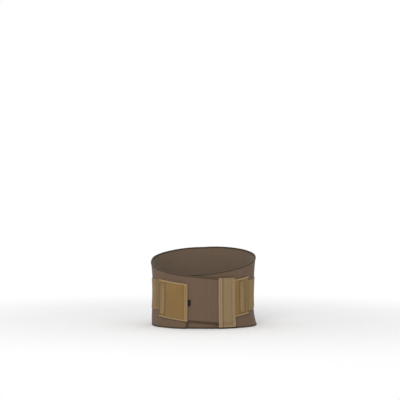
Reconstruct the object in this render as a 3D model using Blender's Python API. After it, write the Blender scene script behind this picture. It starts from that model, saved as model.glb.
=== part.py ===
"""Lumbar support belt, closed as it is worn and standing on its lower edge.

Metres, +Z up. The front faces -Y, and left and right are as seen from the front. Every sewn
piece is drawn flat, as a pattern cutter would: "along" is the distance round the waist from
the middle of the front, "up" is the height, and "out" is the distance outwards from the
belt's inner face. bend_round_waist() then creases the flat piece and wraps it round the waist.
"""

import math

import bmesh
import bpy
import numpy as np
from mathutils import Vector

# The waist that the belt is closed round, at the belt's inner face
WAIST_HALF_WIDTH = 0.1326
WAIST_HALF_DEPTH = 0.101
WAIST_SQUARENESS = 2.3  # 2 is an ellipse, and more is squarer
WAISTLINE = 0.090  # height where the wall is narrowest
FLARE_AT_HEM = 0.005  # how far the wall stands out at the floor
FLARE_AT_BACK_TOP = 0.005  # and at the top of the back
SET_BACK = 0.004  # moves the belt back, so that the origin is in the middle of its footprint
STATIONS = 60  # creases round the waist
NEAR_STATION = 0.05  # an outline has no point nearer a crease than this share of a step
LEVEL_STEP = 0.040  # height between level creases
RISE_CREASES = (0.0, 0.25, 0.5, 0.75, 1.0)  # extra creases where the tongue rises
STEP_CREASES = (0.0, 0.33, 0.67, 1.0)  # and where the tab steps down
CORNER_STEPS = 4  # sides of a round corner
STRIP_CORNER_STEPS = 3  # and of a narrow strip's

# Heights of the belt
HEIGHT_BACK = 0.205
HEIGHT_FRONT_LEFT = 0.138
HEIGHT_FRONT_RIGHT = 0.143
RIGHT_SIDE_RISE = 0.0095  # the right side is worn a little higher

# Cloth thicknesses
LINING = 0.0010
SHELL = 0.0024
STRAP = 0.0013
PAD = 0.0018
HOOK_PATCH = 0.0010
TAPE = 0.0005
PLY_GAP = 0.0003  # clearance between two layers

# Binding tape folded over the edges
BINDING_LEG = 0.0030
BINDING_TAPE = 0.0004

# Hinge lines
HINGE_GAP = 0.0006  # slit between the pieces of two bodies
HINGE_PROUD = 0.0003  # how far an axis stands outside the outermost layer

# Right wing, which lies under the left one
RIGHT_WING_END = -0.052
RIGHT_WING_CORNER = 0.009

# Left wing, which rises over the right one
RISE_START = -0.105
RISE_END = -0.062
WING_STEP_CORNER = 0.006  # round corners where the wing narrows to the tongue
WING_STEP_BEHIND_PAD = 0.001  # the wing narrows just behind the pad's front edge

# Closure tongue and tab
TONGUE_LENGTH = 0.0693
TONGUE_TOP_DROP = 0.0072  # how much lower its top edge is at the tab
TONGUE_LOW = 0.0187  # height of its lower edge at the wing
TONGUE_LOW_DROP = 0.0050
TONGUE_RISE_RUN = 0.020  # length in which it rises over the right pad
CLEAR_OF_PAD = 0.006  # length that it lies level before the pad
TAB_OVERLAP = 0.0088  # the tab's sewn margin over the tongue
TAB_PAST_TONGUE = 0.0020  # how far that margin passes the tongue's end
TAB_WIDTH = 0.0428
TAB_LOW = 0.0040
TAB_HIGH = 0.1320
TAB_CORNER = 0.0040
TAB_STEP_WIDTH = 0.0030  # run in which the tab steps down off the tongue
TAB_EDGE_TAPE = 0.0079
TAB_HOOK_MARGIN = 0.0050
TAB_TAPE_CORNER = 0.0010
HOOK_CORNER = 0.0030

# Side straps
STRAP_HEIGHT = 0.080
STRAP_LOW_LEFT = 0.0457
STRAP_LOW_RIGHT = 0.0490
STRAP_SLOPE_RIGHT = 0.10
STRAP_UNDER_PAD = 0.010
KEEPER_LENGTH = 0.030  # sewn down on the wing, in front of the seam
REAR_STRAP_LENGTH = 0.085
REAR_STRAP_END_HEIGHT = 0.060
ANCHOR_PATCH = 0.014
ANCHOR_MARGIN = 0.003

# Pads at the straps' front ends
PAD_LENGTH = 0.081
PAD_HEIGHT = 0.0963
PAD_REAR_LEFT = -0.120
PAD_REAR_RIGHT = 0.125
PAD_LOW_LEFT = 0.0301  # lower edge at the rear end
PAD_LOW_RIGHT = 0.0370
PAD_SLOPE_LEFT = 0.131
PAD_SLOPE_RIGHT = 0.165
PAD_FRONT_TAPE = 0.0085
PAD_HOOK_MARGIN = 0.0045
CHANNEL_WIDTH = 0.0131
CHANNEL_HEIGHT = 0.0790
CHANNEL_SET_IN_LEFT = 0.0110  # centre line, from the pad's rear end
CHANNEL_SET_IN_RIGHT = 0.0204
CHANNEL_LOW_MARGIN = 0.0075  # lower end, from the pad's lower edge
BATTEN_WIDTH = 0.0090
BATTEN_THICKNESS = 0.0008
TAG_LENGTH = 0.0074
TAG_HEIGHT = 0.0155
TAG_THICKNESS = 0.0012
TAG_LOW = 0.0403  # lower end, from the pad's lower edge at its front
TAG_CORNER = 0.0006

# Back stays in their sewn casings
STAY_OFFSETS = (-0.078, -0.030, 0.030, 0.078)  # centre lines, from the middle of the back
STAY_WIDTH = 0.0110
STAY_THICKNESS = 0.0009
CASING_WIDTH = 0.0160
CASING_WALL = 0.0004
CASING_END_MARGIN = 0.0050  # from the binding-covered edges
STAY_END_MARGIN = 0.0020  # from the casing's ends
ROUND_END = 0.4  # corner radius of a stay or batten, as a share of its width

SEAM_TAPE_WIDTH = 0.014

# Worked-out sizes: the waist curve
SAMPLES = 40000


def waist_frames():
    """Points and outward normals of the waist curve at each station, and its length."""
    turn = np.linspace(-math.pi, math.pi, SAMPLES + 1)
    power = 2.0 / WAIST_SQUARENESS
    x = WAIST_HALF_WIDTH * np.sign(np.sin(turn)) * np.abs(np.sin(turn)) ** power
    y = -WAIST_HALF_DEPTH * np.sign(np.cos(turn)) * np.abs(np.cos(turn)) ** power
    run = np.concatenate([[0.0], np.cumsum(np.hypot(np.diff(x), np.diff(y)))])
    girth = run[-1]
    slope = WAIST_SQUARENESS - 1.0
    across = np.sign(x) * np.abs(x / WAIST_HALF_WIDTH) ** slope / WAIST_HALF_WIDTH
    ahead = np.sign(y) * np.abs(y / WAIST_HALF_DEPTH) ** slope / WAIST_HALF_DEPTH
    size = np.hypot(across, ahead)
    # Station 0 is the middle of the front, and the numbers grow towards the right.
    where = (np.arange(STATIONS) / STATIONS * girth + girth / 2.0) % girth
    points = np.stack([np.interp(where, run, x), np.interp(where, run, y)], axis=1)
    normals = np.stack(
        [np.interp(where, run, across / size), np.interp(where, run, ahead / size)], axis=1
    )
    return points, normals / np.linalg.norm(normals, axis=1)[:, None], girth


POINTS, NORMALS, GIRTH = waist_frames()
STATION_STEP = GIRTH / STATIONS
SEAM = GIRTH / 4.0  # the side seams, at the widest places
BACK = GIRTH / 2.0  # the middle of the back

# The layers, outwards from the inner face
EDGE_TURN = PLY_GAP + BINDING_TAPE  # how far a binding stands beyond an edge
HEM = EDGE_TURN  # the cloth's lower edge, so that its binding stands on the floor
SHELL_IN = LINING + PLY_GAP
SHELL_OUT = SHELL_IN + SHELL
STRAP_IN = SHELL_OUT + PLY_GAP
STRAP_OUT = STRAP_IN + STRAP
PAD_IN = STRAP_OUT + PLY_GAP
PAD_OUT = PAD_IN + PAD
PAD_BINDING_OUT = PAD_OUT + EDGE_TURN
# The left wing and the tongue lie over the right wing's bound edge
LAP_RISE = SHELL_OUT + EDGE_TURN + PLY_GAP + EDGE_TURN
TAB_HOOK_IN = PAD_BINDING_OUT + PLY_GAP
TAB_IN = TAB_HOOK_IN + HOOK_PATCH + PLY_GAP
TONGUE_RISE = PAD_BINDING_OUT + 2 * PLY_GAP + BINDING_TAPE - SHELL_IN + PLY_GAP
TAB_STEP = TONGUE_RISE + SHELL_OUT + PLY_GAP - TAB_IN

# Places round the waist
STRAP_HINGE = SEAM - KEEPER_LENGTH
PAD_FRONT_LEFT = PAD_REAR_LEFT + PAD_LENGTH
PAD_FRONT_RIGHT = PAD_REAR_RIGHT - PAD_LENGTH
TONGUE_HINGE = PAD_FRONT_LEFT + PLY_GAP + TAG_LENGTH + 2 * PLY_GAP
TAB_START = TONGUE_HINGE + TONGUE_LENGTH
TONGUE_END = TAB_START + TAB_OVERLAP - TAB_PAST_TONGUE
TAB_END = TAB_START + TAB_WIDTH
WING_STEP = PAD_FRONT_LEFT - WING_STEP_BEHIND_PAD
# The tongue is fully raised before it meets the pad or the tab
TONGUE_RISE_END = min(PAD_FRONT_RIGHT - CLEAR_OF_PAD, TAB_START - 2 * PLY_GAP)
TONGUE_RISE_START = TONGUE_RISE_END - TONGUE_RISE_RUN


def smooth(share):
    """A share from 0 to 1, eased in and out."""
    share = min(1.0, max(0.0, share))
    return share * share * (3.0 - 2.0 * share)


def flare_at(level):
    """How far the wall stands out at a level crease."""
    if level < WAISTLINE:
        return FLARE_AT_HEM * ((WAISTLINE - level) / WAISTLINE) ** 2
    return FLARE_AT_BACK_TOP * ((level - WAISTLINE) / (HEIGHT_BACK - WAISTLINE)) ** 2


def flare(up):
    """The flare at any height, straight between the level creases."""
    row = math.floor(up / LEVEL_STEP)
    low = flare_at(row * LEVEL_STEP)
    return low + (flare_at((row + 1) * LEVEL_STEP) - low) * (up / LEVEL_STEP - row)


def between_stations(along, value):
    """A value at any place, straight between its values at the stations."""
    number = math.floor(along / STATION_STEP)
    low = value(number * STATION_STEP)
    high = value((number + 1) * STATION_STEP)
    return low + (high - low) * (along / STATION_STEP - number)


def flat_lay(along):
    """Lift of what lies straight on the waist."""
    return 0.0


def wing_rise(along):
    """How far the left wing has risen at a station."""
    return LAP_RISE * smooth((along - RISE_START) / (RISE_END - RISE_START))


def wing_lay(along):
    """Lift of the left wing, which rises over the right wing's end."""
    return between_stations(along, wing_rise)


def tongue_lay(along):
    """Lift of the tongue, which rises again over the right pad."""
    share = smooth((along - TONGUE_RISE_START) / TONGUE_RISE_RUN)
    return LAP_RISE + (TONGUE_RISE - LAP_RISE) * share


def tab_lay(along):
    """Lift of the tab, which steps down off the tongue's end."""
    start = TAB_START + TAB_OVERLAP
    return TAB_STEP * (1.0 - smooth((along - start) / TAB_STEP_WIDTH))


def at_waist(along, out):
    """Plan position of a place round the waist, at a distance outwards."""
    number = math.floor(along / STATION_STEP)
    share = along / STATION_STEP - number
    first = number % STATIONS
    second = (number + 1) % STATIONS
    point = POINTS[first] * (1.0 - share) + POINTS[second] * share
    normal = NORMALS[first] * (1.0 - share) + NORMALS[second] * share
    return point + normal * out + (0.0, SET_BACK)


def top_edge_left(along):
    """Height of the belt's top edge left of the middle."""
    share = (1.0 - math.cos(math.pi * along / BACK)) / 2.0
    return HEIGHT_FRONT_LEFT + (HEIGHT_BACK - HEIGHT_FRONT_LEFT) * share - EDGE_TURN


def top_edge_right(along):
    """Height of the belt's top edge right of the middle."""
    share = (1.0 - math.cos(math.pi * along / BACK)) / 2.0
    rise = RIGHT_SIDE_RISE * math.sin(math.pi * along / BACK)
    return HEIGHT_FRONT_RIGHT + (HEIGHT_BACK - HEIGHT_FRONT_RIGHT) * share + rise - EDGE_TURN


def top_edge_back(along):
    """Height of the back's top edge, from the right seam round to the left one."""
    return top_edge_right(along) if along < BACK else top_edge_left(along - GIRTH)


def hem(along):
    """Height of the cloth's lower edge."""
    return HEM


def slanted(start, low, slope):
    """An edge that has height low at start and rises by slope."""
    return lambda along: low + slope * (along - start)


def raised(edge, rise):
    """The edge that lies higher than another by rise."""
    return lambda along: edge(along) + rise


def inside(edge, limit, pick):
    """The edge that follows the higher or the lower of two, as pick is max or min."""
    return lambda along: pick(edge(along), limit(along))


def edge_points(edge, start, end):
    """Points of an edge from start to end, one at each station on the way."""
    low, high = sorted((start, end))
    first = math.floor(low / STATION_STEP) + 1
    last = math.ceil(high / STATION_STEP) - 1
    places = [number * STATION_STEP for number in range(first, last + 1)]
    near = STATION_STEP * NEAR_STATION
    places = [low] + [p for p in places if low + near < p < high - near] + [high]
    if start > end:
        places.reverse()
    return [(place, edge(place)) for place in places]


def round_corner(before, corner, after, radius, steps=CORNER_STEPS):
    """Points of the arc that rounds the corner between two straight runs."""
    corner = np.array(corner)
    back = np.array(before) - corner
    on = np.array(after) - corner
    back /= np.linalg.norm(back)
    on /= np.linalg.norm(on)
    half = math.acos(float(np.clip(back @ on, -1.0, 1.0))) / 2.0
    reach = radius / math.tan(half)
    bisector = (back + on) / np.linalg.norm(back + on)
    centre = corner + bisector * (radius / math.sin(half))
    first = corner + back * reach - centre
    last = corner + on * reach - centre
    swing = math.pi - 2.0 * half
    points = []
    for step in range(steps + 1):
        angle = swing * step / steps
        blend = (first * math.sin(swing - angle) + last * math.sin(angle)) / math.sin(swing)
        points.append(tuple(centre + blend))
    return points


def material(name, colour, roughness, metallic=0.0):
    """A plain finish, made once and then shared."""
    found = bpy.data.materials.get(name)
    if found:
        return found
    made = bpy.data.materials.new(name)
    made.use_nodes = True
    shader = made.node_tree.nodes["Principled BSDF"]
    shader.inputs["Base Color"].default_value = (*colour, 1.0)
    shader.inputs["Roughness"].default_value = roughness
    shader.inputs["Metallic"].default_value = metallic
    made.diffuse_color = (*colour, 1.0)
    return made


def knit_brown():
    return material("knit_brown", (0.165, 0.115, 0.078), 0.9)


def lining_brown():
    return material("lining_brown", (0.10, 0.075, 0.055), 0.95)


def binding_dark():
    return material("binding_dark", (0.045, 0.036, 0.030), 0.85)


def webbing_tan():
    return material("webbing_tan", (0.26, 0.19, 0.10), 0.85)


def pad_tan():
    return material("pad_tan", (0.28, 0.20, 0.10), 0.9)


def tape_tan():
    return material("tape_tan", (0.40, 0.30, 0.18), 0.8)


def hook_dark():
    return material("hook_dark", (0.06, 0.05, 0.04), 0.7)


def batten_plastic():
    return material("batten_plastic", (0.75, 0.75, 0.72), 0.45)


def spring_steel():
    return material("spring_steel", (0.55, 0.56, 0.58), 0.3, 1.0)


def tag_black():
    return material("tag_black", (0.01, 0.01, 0.01), 0.6)


def bend_round_waist(shape, lay, creases=()):
    """Creases a flat piece at the stations and levels, and wraps it round the waist."""
    alongs = [vert.co.x for vert in shape.verts]
    ups = [vert.co.z for vert in shape.verts]
    cuts = [((place, 0.0, 0.0), (1.0, 0.0, 0.0)) for place in creases]
    for number in range(math.ceil(min(alongs) / STATION_STEP), math.floor(max(alongs) / STATION_STEP) + 1):
        cuts.append(((number * STATION_STEP, 0.0, 0.0), (1.0, 0.0, 0.0)))
    for number in range(math.ceil(min(ups) / LEVEL_STEP), math.floor(max(ups) / LEVEL_STEP) + 1):
        cuts.append(((0.0, 0.0, number * LEVEL_STEP), (0.0, 0.0, 1.0)))
    for place, normal in cuts:
        everything = shape.verts[:] + shape.edges[:] + shape.faces[:]
        bmesh.ops.bisect_plane(shape, geom=everything, dist=1e-5, plane_co=place, plane_no=normal)
    for vert in shape.verts:
        along, inward, up = vert.co
        x, y = at_waist(along, lay(along) + flare(up) - inward)
        vert.co = (x, y, up)


def finish(name, shape, body, finish_of):
    """Turns a wrapped shape into a named object on its body's pivot."""
    bmesh.ops.recalc_face_normals(shape, faces=shape.faces[:])
    if shape.calc_volume(signed=True) < 0.0:
        bmesh.ops.reverse_faces(shape, faces=shape.faces[:])
    bmesh.ops.translate(shape, verts=shape.verts[:], vec=-body.location)
    mesh = bpy.data.meshes.new(name)
    shape.to_mesh(mesh)
    shape.free()
    mesh.shade_smooth()
    mesh.set_sharp_from_angle(angle=math.radians(35))
    made = bpy.data.objects.new(name, mesh)
    bpy.context.collection.objects.link(made)
    made.parent = body
    mesh.materials.append(finish_of())
    return made


def panel(name, outline, inner, outer, body, finish_of, lay=flat_lay, creases=()):
    """A ply of cloth: a flat outline given its thickness and wrapped."""
    shape = bmesh.new()
    verts = [shape.verts.new((along, -inner, up)) for along, up in outline]
    shape.faces.new(verts)
    grown = bmesh.ops.extrude_face_region(shape, geom=shape.faces[:])
    raised = [item for item in grown["geom"] if isinstance(item, bmesh.types.BMVert)]
    bmesh.ops.translate(shape, verts=raised, vec=(0.0, inner - outer, 0.0))
    bend_round_waist(shape, lay, creases)
    return finish(name, shape, body, finish_of)


def path_frames(path):
    """Each point of a path with its mitred left-hand normal; the ends are cut square."""
    points = [np.array(point) for point in path]
    frames = []
    for index, point in enumerate(points):
        sides = []
        if index > 0:
            sides.append(point - points[index - 1])
        if index < len(points) - 1:
            sides.append(points[index + 1] - point)
        normals = [np.array((-run[1], run[0])) / np.linalg.norm(run) for run in sides]
        if len(normals) == 1:
            main = int(np.argmax(np.abs(normals[0])))
            square = np.zeros(2)
            square[main] = 1.0 / normals[0][main]
            frames.append((point, square))
            continue
        mean = sum(normals) / len(normals)
        frames.append((point, mean / (mean @ mean)))
    return frames


def swept(name, section, path, body, finish_of, lay=flat_lay, creases=()):
    """A section (across, out) carried along a flat path; across points left of the way."""
    frames = path_frames(path)
    rings = []
    for point, normal in frames:
        places = [point + normal * across for across, _ in section]
        rings.append([(p[0], -out, p[1]) for p, (_, out) in zip(places, section)])
    shape = bmesh.new()
    verts = [shape.verts.new(place) for place in rings[0]]
    cap = shape.faces.new(verts)
    for before, ring in zip(rings, rings[1:]):
        grown = bmesh.ops.extrude_face_region(shape, geom=[cap])
        if before is not rings[0]:
            bmesh.ops.delete(shape, geom=[cap], context="FACES_ONLY")
        cap = next(item for item in grown["geom"] if isinstance(item, bmesh.types.BMFace))
        for loop in cap.loops:
            gaps = [(loop.vert.co - Vector(corner)).length for corner in before]
            loop.vert.co = ring[gaps.index(min(gaps))]
    bend_round_waist(shape, lay, creases)
    return finish(name, shape, body, finish_of)


def binding(name, path, inner, outer, body, finish_of, lay=flat_lay, creases=()):
    """Tape folded over an edge; the edge's outside is left of the path's way."""
    section = (
        (-BINDING_LEG, outer + EDGE_TURN),
        (EDGE_TURN, outer + EDGE_TURN),
        (EDGE_TURN, inner - EDGE_TURN),
        (-BINDING_LEG, inner - EDGE_TURN),
        (-BINDING_LEG, inner - PLY_GAP),
        (PLY_GAP, inner - PLY_GAP),
        (PLY_GAP, outer + PLY_GAP),
        (-BINDING_LEG, outer + PLY_GAP),
    )
    return swept(name, section, path, body, finish_of, lay, creases)


def channel(name, centre, low, high, width, inner, room, body, finish_of, lay=flat_lay):
    """A raised sewn channel, open towards the cloth it is sewn on, with room inside."""
    outer = inner + room + CASING_WALL
    side = width / 2.0
    section = (
        (-side, inner),
        (-side, outer),
        (side, outer),
        (side, inner),
        (side - CASING_WALL, inner),
        (side - CASING_WALL, outer - CASING_WALL),
        (CASING_WALL - side, outer - CASING_WALL),
        (CASING_WALL - side, inner),
    )
    return swept(name, section, [(centre, low), (centre, high)], body, finish_of, lay)


def strip(centre, low, high, width, corner):
    """Outline of an upright strip with round corners."""
    side = width / 2.0
    left, right = centre - side, centre + side
    corners = [(left, low), (right, low), (right, high), (left, high)]
    outline = []
    for index, place in enumerate(corners):
        after = corners[(index + 1) % len(corners)]
        outline += round_corner(corners[index - 1], place, after, corner, STRIP_CORNER_STEPS)
    return outline


def pivot(name, along, out):
    """An empty on a vertical hinge line, at a distance outwards."""
    empty = bpy.data.objects.new(name, None)
    empty.empty_display_size = 0.02
    x, y = at_waist(along, out)
    empty.location = (x, y, 0.0)
    bpy.context.collection.objects.link(empty)
    return empty


def under(parent, child):
    """Hangs one pivot on another and keeps its place."""
    child.parent = parent
    child.matrix_parent_inverse = parent.matrix_basis.inverted()


def between(low_edge, high_edge, start, end):
    """Outline of a piece between two edges, from start to end."""
    return edge_points(low_edge, start, end) + edge_points(high_edge, end, start)


# The back


def back_panel(body):
    """Shell and lining of the back, bound along the top and bottom."""
    start = SEAM + HINGE_GAP / 2.0
    end = GIRTH - SEAM - HINGE_GAP / 2.0
    outline = between(hem, top_edge_back, start, end)
    panel("back_shell", outline, SHELL_IN, SHELL_OUT, body, knit_brown)
    panel("back_lining", outline, 0.0, LINING, body, lining_brown)
    top = edge_points(top_edge_back, start, end)
    low = edge_points(hem, end, start)
    binding("back_top_binding", top, 0.0, SHELL_OUT, body, binding_dark)
    binding("back_bottom_binding", low, 0.0, SHELL_OUT, body, binding_dark)


def back_stays(body):
    """Flat steel stays, each in a sewn channel down the outside of the back."""
    room = PLY_GAP + STAY_THICKNESS + PLY_GAP
    for number, offset in enumerate(STAY_OFFSETS, start=1):
        centre = BACK + offset
        sides = (top_edge_back(centre - CASING_WIDTH / 2.0), top_edge_back(centre + CASING_WIDTH / 2.0))
        low = HEM + CASING_END_MARGIN
        high = min(sides) - CASING_END_MARGIN
        name = f"back_casing_{number}"
        channel(name, centre, low, high, CASING_WIDTH, STRAP_IN, room, body, knit_brown)
        stay_low = low + STAY_END_MARGIN
        stay_high = high - STAY_END_MARGIN
        stay = strip(centre, stay_low, stay_high, STAY_WIDTH, STAY_WIDTH * ROUND_END)
        inner = STRAP_IN + PLY_GAP
        panel(f"back_stay_{number}", stay, inner, inner + STAY_THICKNESS, body, spring_steel)


def strap_low_right(along):
    """Height of the right strap's lower edge."""
    return STRAP_LOW_RIGHT + STRAP_SLOPE_RIGHT * (min(along, SEAM) - SEAM)


def strap_low_left(along):
    """Height of the left strap's lower edge."""
    return STRAP_LOW_LEFT


def rear_straps(body):
    """The straps' rear parts, sewn down on the back under anchor patches."""
    taper = (STRAP_HEIGHT - REAR_STRAP_END_HEIGHT) / 2.0
    for side, low, way in (("left", STRAP_LOW_LEFT, -1.0), ("right", STRAP_LOW_RIGHT, 1.0)):
        start = SEAM + HINGE_GAP / 2.0
        end = SEAM + REAR_STRAP_LENGTH
        lower = slanted(start, low, taper / (end - start))
        upper = slanted(start, low + STRAP_HEIGHT, -taper / (end - start))
        outline = between(lower, upper, start, end)
        patch_low = slanted(start, low - ANCHOR_MARGIN, taper / (end - start))
        patch_high = slanted(start, low + STRAP_HEIGHT + ANCHOR_MARGIN, -taper / (end - start))
        patch = between(patch_low, patch_high, end - ANCHOR_PATCH, end + ANCHOR_MARGIN)
        if way < 0:
            outline = [(GIRTH - along, up) for along, up in outline]
            patch = [(GIRTH - along, up) for along, up in patch]
        panel(f"{side}_strap_rear", outline, STRAP_IN, STRAP_OUT, body, webbing_tan)
        outer = PAD_IN + TAPE
        panel(f"{side}_anchor_patch", patch, PAD_IN, outer, body, tape_tan)


def seam_tapes(body):
    """Tapes over the side seams, on the belt's inner face."""
    margin = BINDING_LEG + PLY_GAP
    start = SEAM + HINGE_GAP / 2.0
    end = start + SEAM_TAPE_WIDTH
    for side, low, high in (("right", start, end), ("left", GIRTH - end, GIRTH - start)):
        outline = between(raised(hem, margin), raised(top_edge_back, -margin), low, high)
        panel(f"{side}_seam_tape", outline, -PLY_GAP - TAPE, -PLY_GAP, body, tape_tan)


# The wings


def tongue_low(along):
    """Height of the tongue's lower edge."""
    return TONGUE_LOW - TONGUE_LOW_DROP * (along - TONGUE_HINGE) / TONGUE_LENGTH


def tongue_top(along):
    """Height of the tongue's top edge, which carries on from the wing's."""
    start = top_edge_left(TONGUE_HINGE)
    return start - TONGUE_TOP_DROP * (along - TONGUE_HINGE) / TONGUE_LENGTH


def left_wing(body):
    """The outer wing: full height up to the pad's front, then as high as the tongue."""
    start = -SEAM + HINGE_GAP / 2.0
    end = TONGUE_HINGE - HINGE_GAP / 2.0
    foot = (WING_STEP, HEM)
    heel = (WING_STEP, tongue_low(WING_STEP))
    last = (end, tongue_low(end))
    low_corner = round_corner((start, HEM), foot, heel, WING_STEP_CORNER)
    high_corner = round_corner(foot, heel, last, WING_STEP_CORNER / 2.0)
    low = edge_points(hem, start, low_corner[0][0])[:-1] + low_corner + high_corner + [last]
    top = edge_points(top_edge_left, start, end)
    outline = low + top[::-1]
    panel("left_wing_shell", outline, SHELL_IN, SHELL_OUT, body, knit_brown, wing_lay)
    panel("left_wing_lining", outline, 0.0, LINING, body, lining_brown, wing_lay)
    binding("left_wing_top_binding", top, 0.0, SHELL_OUT, body, binding_dark, wing_lay)
    binding("left_wing_bottom_binding", low[::-1], 0.0, SHELL_OUT, body, binding_dark, wing_lay)


def right_wing(body):
    """The inner wing, whose round end lies under the left one."""
    start = SEAM - HINGE_GAP / 2.0
    end = RIGHT_WING_END
    foot = (end, HEM)
    head = (end, top_edge_right(end))
    low_corner = round_corner((start, HEM), foot, head, RIGHT_WING_CORNER)
    beside = end + RIGHT_WING_CORNER
    high_corner = round_corner(foot, head, (beside, top_edge_right(beside)), RIGHT_WING_CORNER)
    low = edge_points(hem, start, low_corner[0][0])
    top = edge_points(top_edge_right, high_corner[-1][0], start)
    outline = low[:-1] + low_corner + high_corner + top[1:]
    panel("right_wing_shell", outline, SHELL_IN, SHELL_OUT, body, knit_brown)
    panel("right_wing_lining", outline, 0.0, LINING, body, lining_brown)
    low_path = low[:-1] + [(low[-1][0] + PLY_GAP, low[-1][1])]
    top_path = [(top[0][0] + PLY_GAP, top[0][1])] + top[1:]
    binding("right_wing_bottom_binding", low_path, 0.0, SHELL_OUT, body, binding_dark)
    binding("right_wing_top_binding", top_path, 0.0, SHELL_OUT, body, binding_dark)
    binding("right_wing_end_binding", low_corner + high_corner, 0.0, SHELL_OUT, body, binding_dark)


def strap_keepers(left_body, right_body):
    """Short lengths of strap sewn down on the wings, from the seam to the strap's hinge."""
    start = STRAP_HINGE + HINGE_GAP / 2.0
    end = SEAM - HINGE_GAP / 2.0
    outline = between(strap_low_right, raised(strap_low_right, STRAP_HEIGHT), start, end)
    panel("right_strap_keeper", outline, STRAP_IN, STRAP_OUT, right_body, webbing_tan)
    outline = between(strap_low_left, raised(strap_low_left, STRAP_HEIGHT), -end, -start)
    panel("left_strap_keeper", outline, STRAP_IN, STRAP_OUT, left_body, webbing_tan, wing_lay)


# The closure


def tongue(body):
    """The wing's narrow end, which lies over the right wing."""
    start = TONGUE_HINGE + HINGE_GAP / 2.0
    creases = [TONGUE_RISE_START + TONGUE_RISE_RUN * share for share in RISE_CREASES]
    outline = between(tongue_low, tongue_top, start, TONGUE_END)
    panel("tongue_panel", outline, SHELL_IN, SHELL_OUT, body, knit_brown, tongue_lay, creases)
    end = TAB_START - PLY_GAP
    top = edge_points(tongue_top, start, end)
    low = edge_points(tongue_low, end, start)
    for name, path in (("tongue_top_binding", top), ("tongue_bottom_binding", low)):
        binding(name, path, SHELL_IN, SHELL_OUT, body, binding_dark, tongue_lay, creases)


def tab(body):
    """The tab at the tongue's end, with its tapes and its hook patch."""
    step = TAB_START + TAB_OVERLAP
    creases = [step + TAB_STEP_WIDTH * share for share in STEP_CREASES]
    corners = [(TAB_START, TAB_LOW), (TAB_END, TAB_LOW), (TAB_END, TAB_HIGH), (TAB_START, TAB_HIGH)]
    outline = [corners[0]]
    outline += round_corner(corners[0], corners[1], corners[2], TAB_CORNER)
    outline += round_corner(corners[1], corners[2], corners[3], TAB_CORNER)
    outline += [corners[3]]
    panel("closure_tab", outline, TAB_IN, TAB_IN + PAD, body, pad_tan, tab_lay, creases)
    inner = TAB_IN + PAD + PLY_GAP
    seam_tape = strip(TAB_START + TAB_OVERLAP / 2.0, TAB_LOW, TAB_HIGH, TAB_OVERLAP, TAB_TAPE_CORNER)
    panel("tab_seam_tape", seam_tape, inner, inner + TAPE, body, tape_tan, tab_lay)
    edge_start = TAB_END - TAB_EDGE_TAPE
    edge_tape = [(edge_start, TAB_LOW)]
    edge_tape += round_corner(corners[0], corners[1], corners[2], TAB_CORNER)
    edge_tape += round_corner(corners[1], corners[2], corners[3], TAB_CORNER)
    edge_tape += [(edge_start, TAB_HIGH)]
    panel("tab_edge_tape", edge_tape, inner, inner + TAPE, body, tape_tan)
    start = max(TONGUE_END, step + TAB_STEP_WIDTH) + PLY_GAP
    end = TAB_END - TAB_HOOK_MARGIN
    low = TAB_LOW + TAB_HOOK_MARGIN
    high = TAB_HIGH - TAB_HOOK_MARGIN
    hooks = strip((start + end) / 2.0, low, high, end - start, HOOK_CORNER)
    panel("tab_hook_patch", hooks, TAB_HOOK_IN, TAB_HOOK_IN + HOOK_PATCH, body, hook_dark)


# The side straps and their pads


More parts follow.
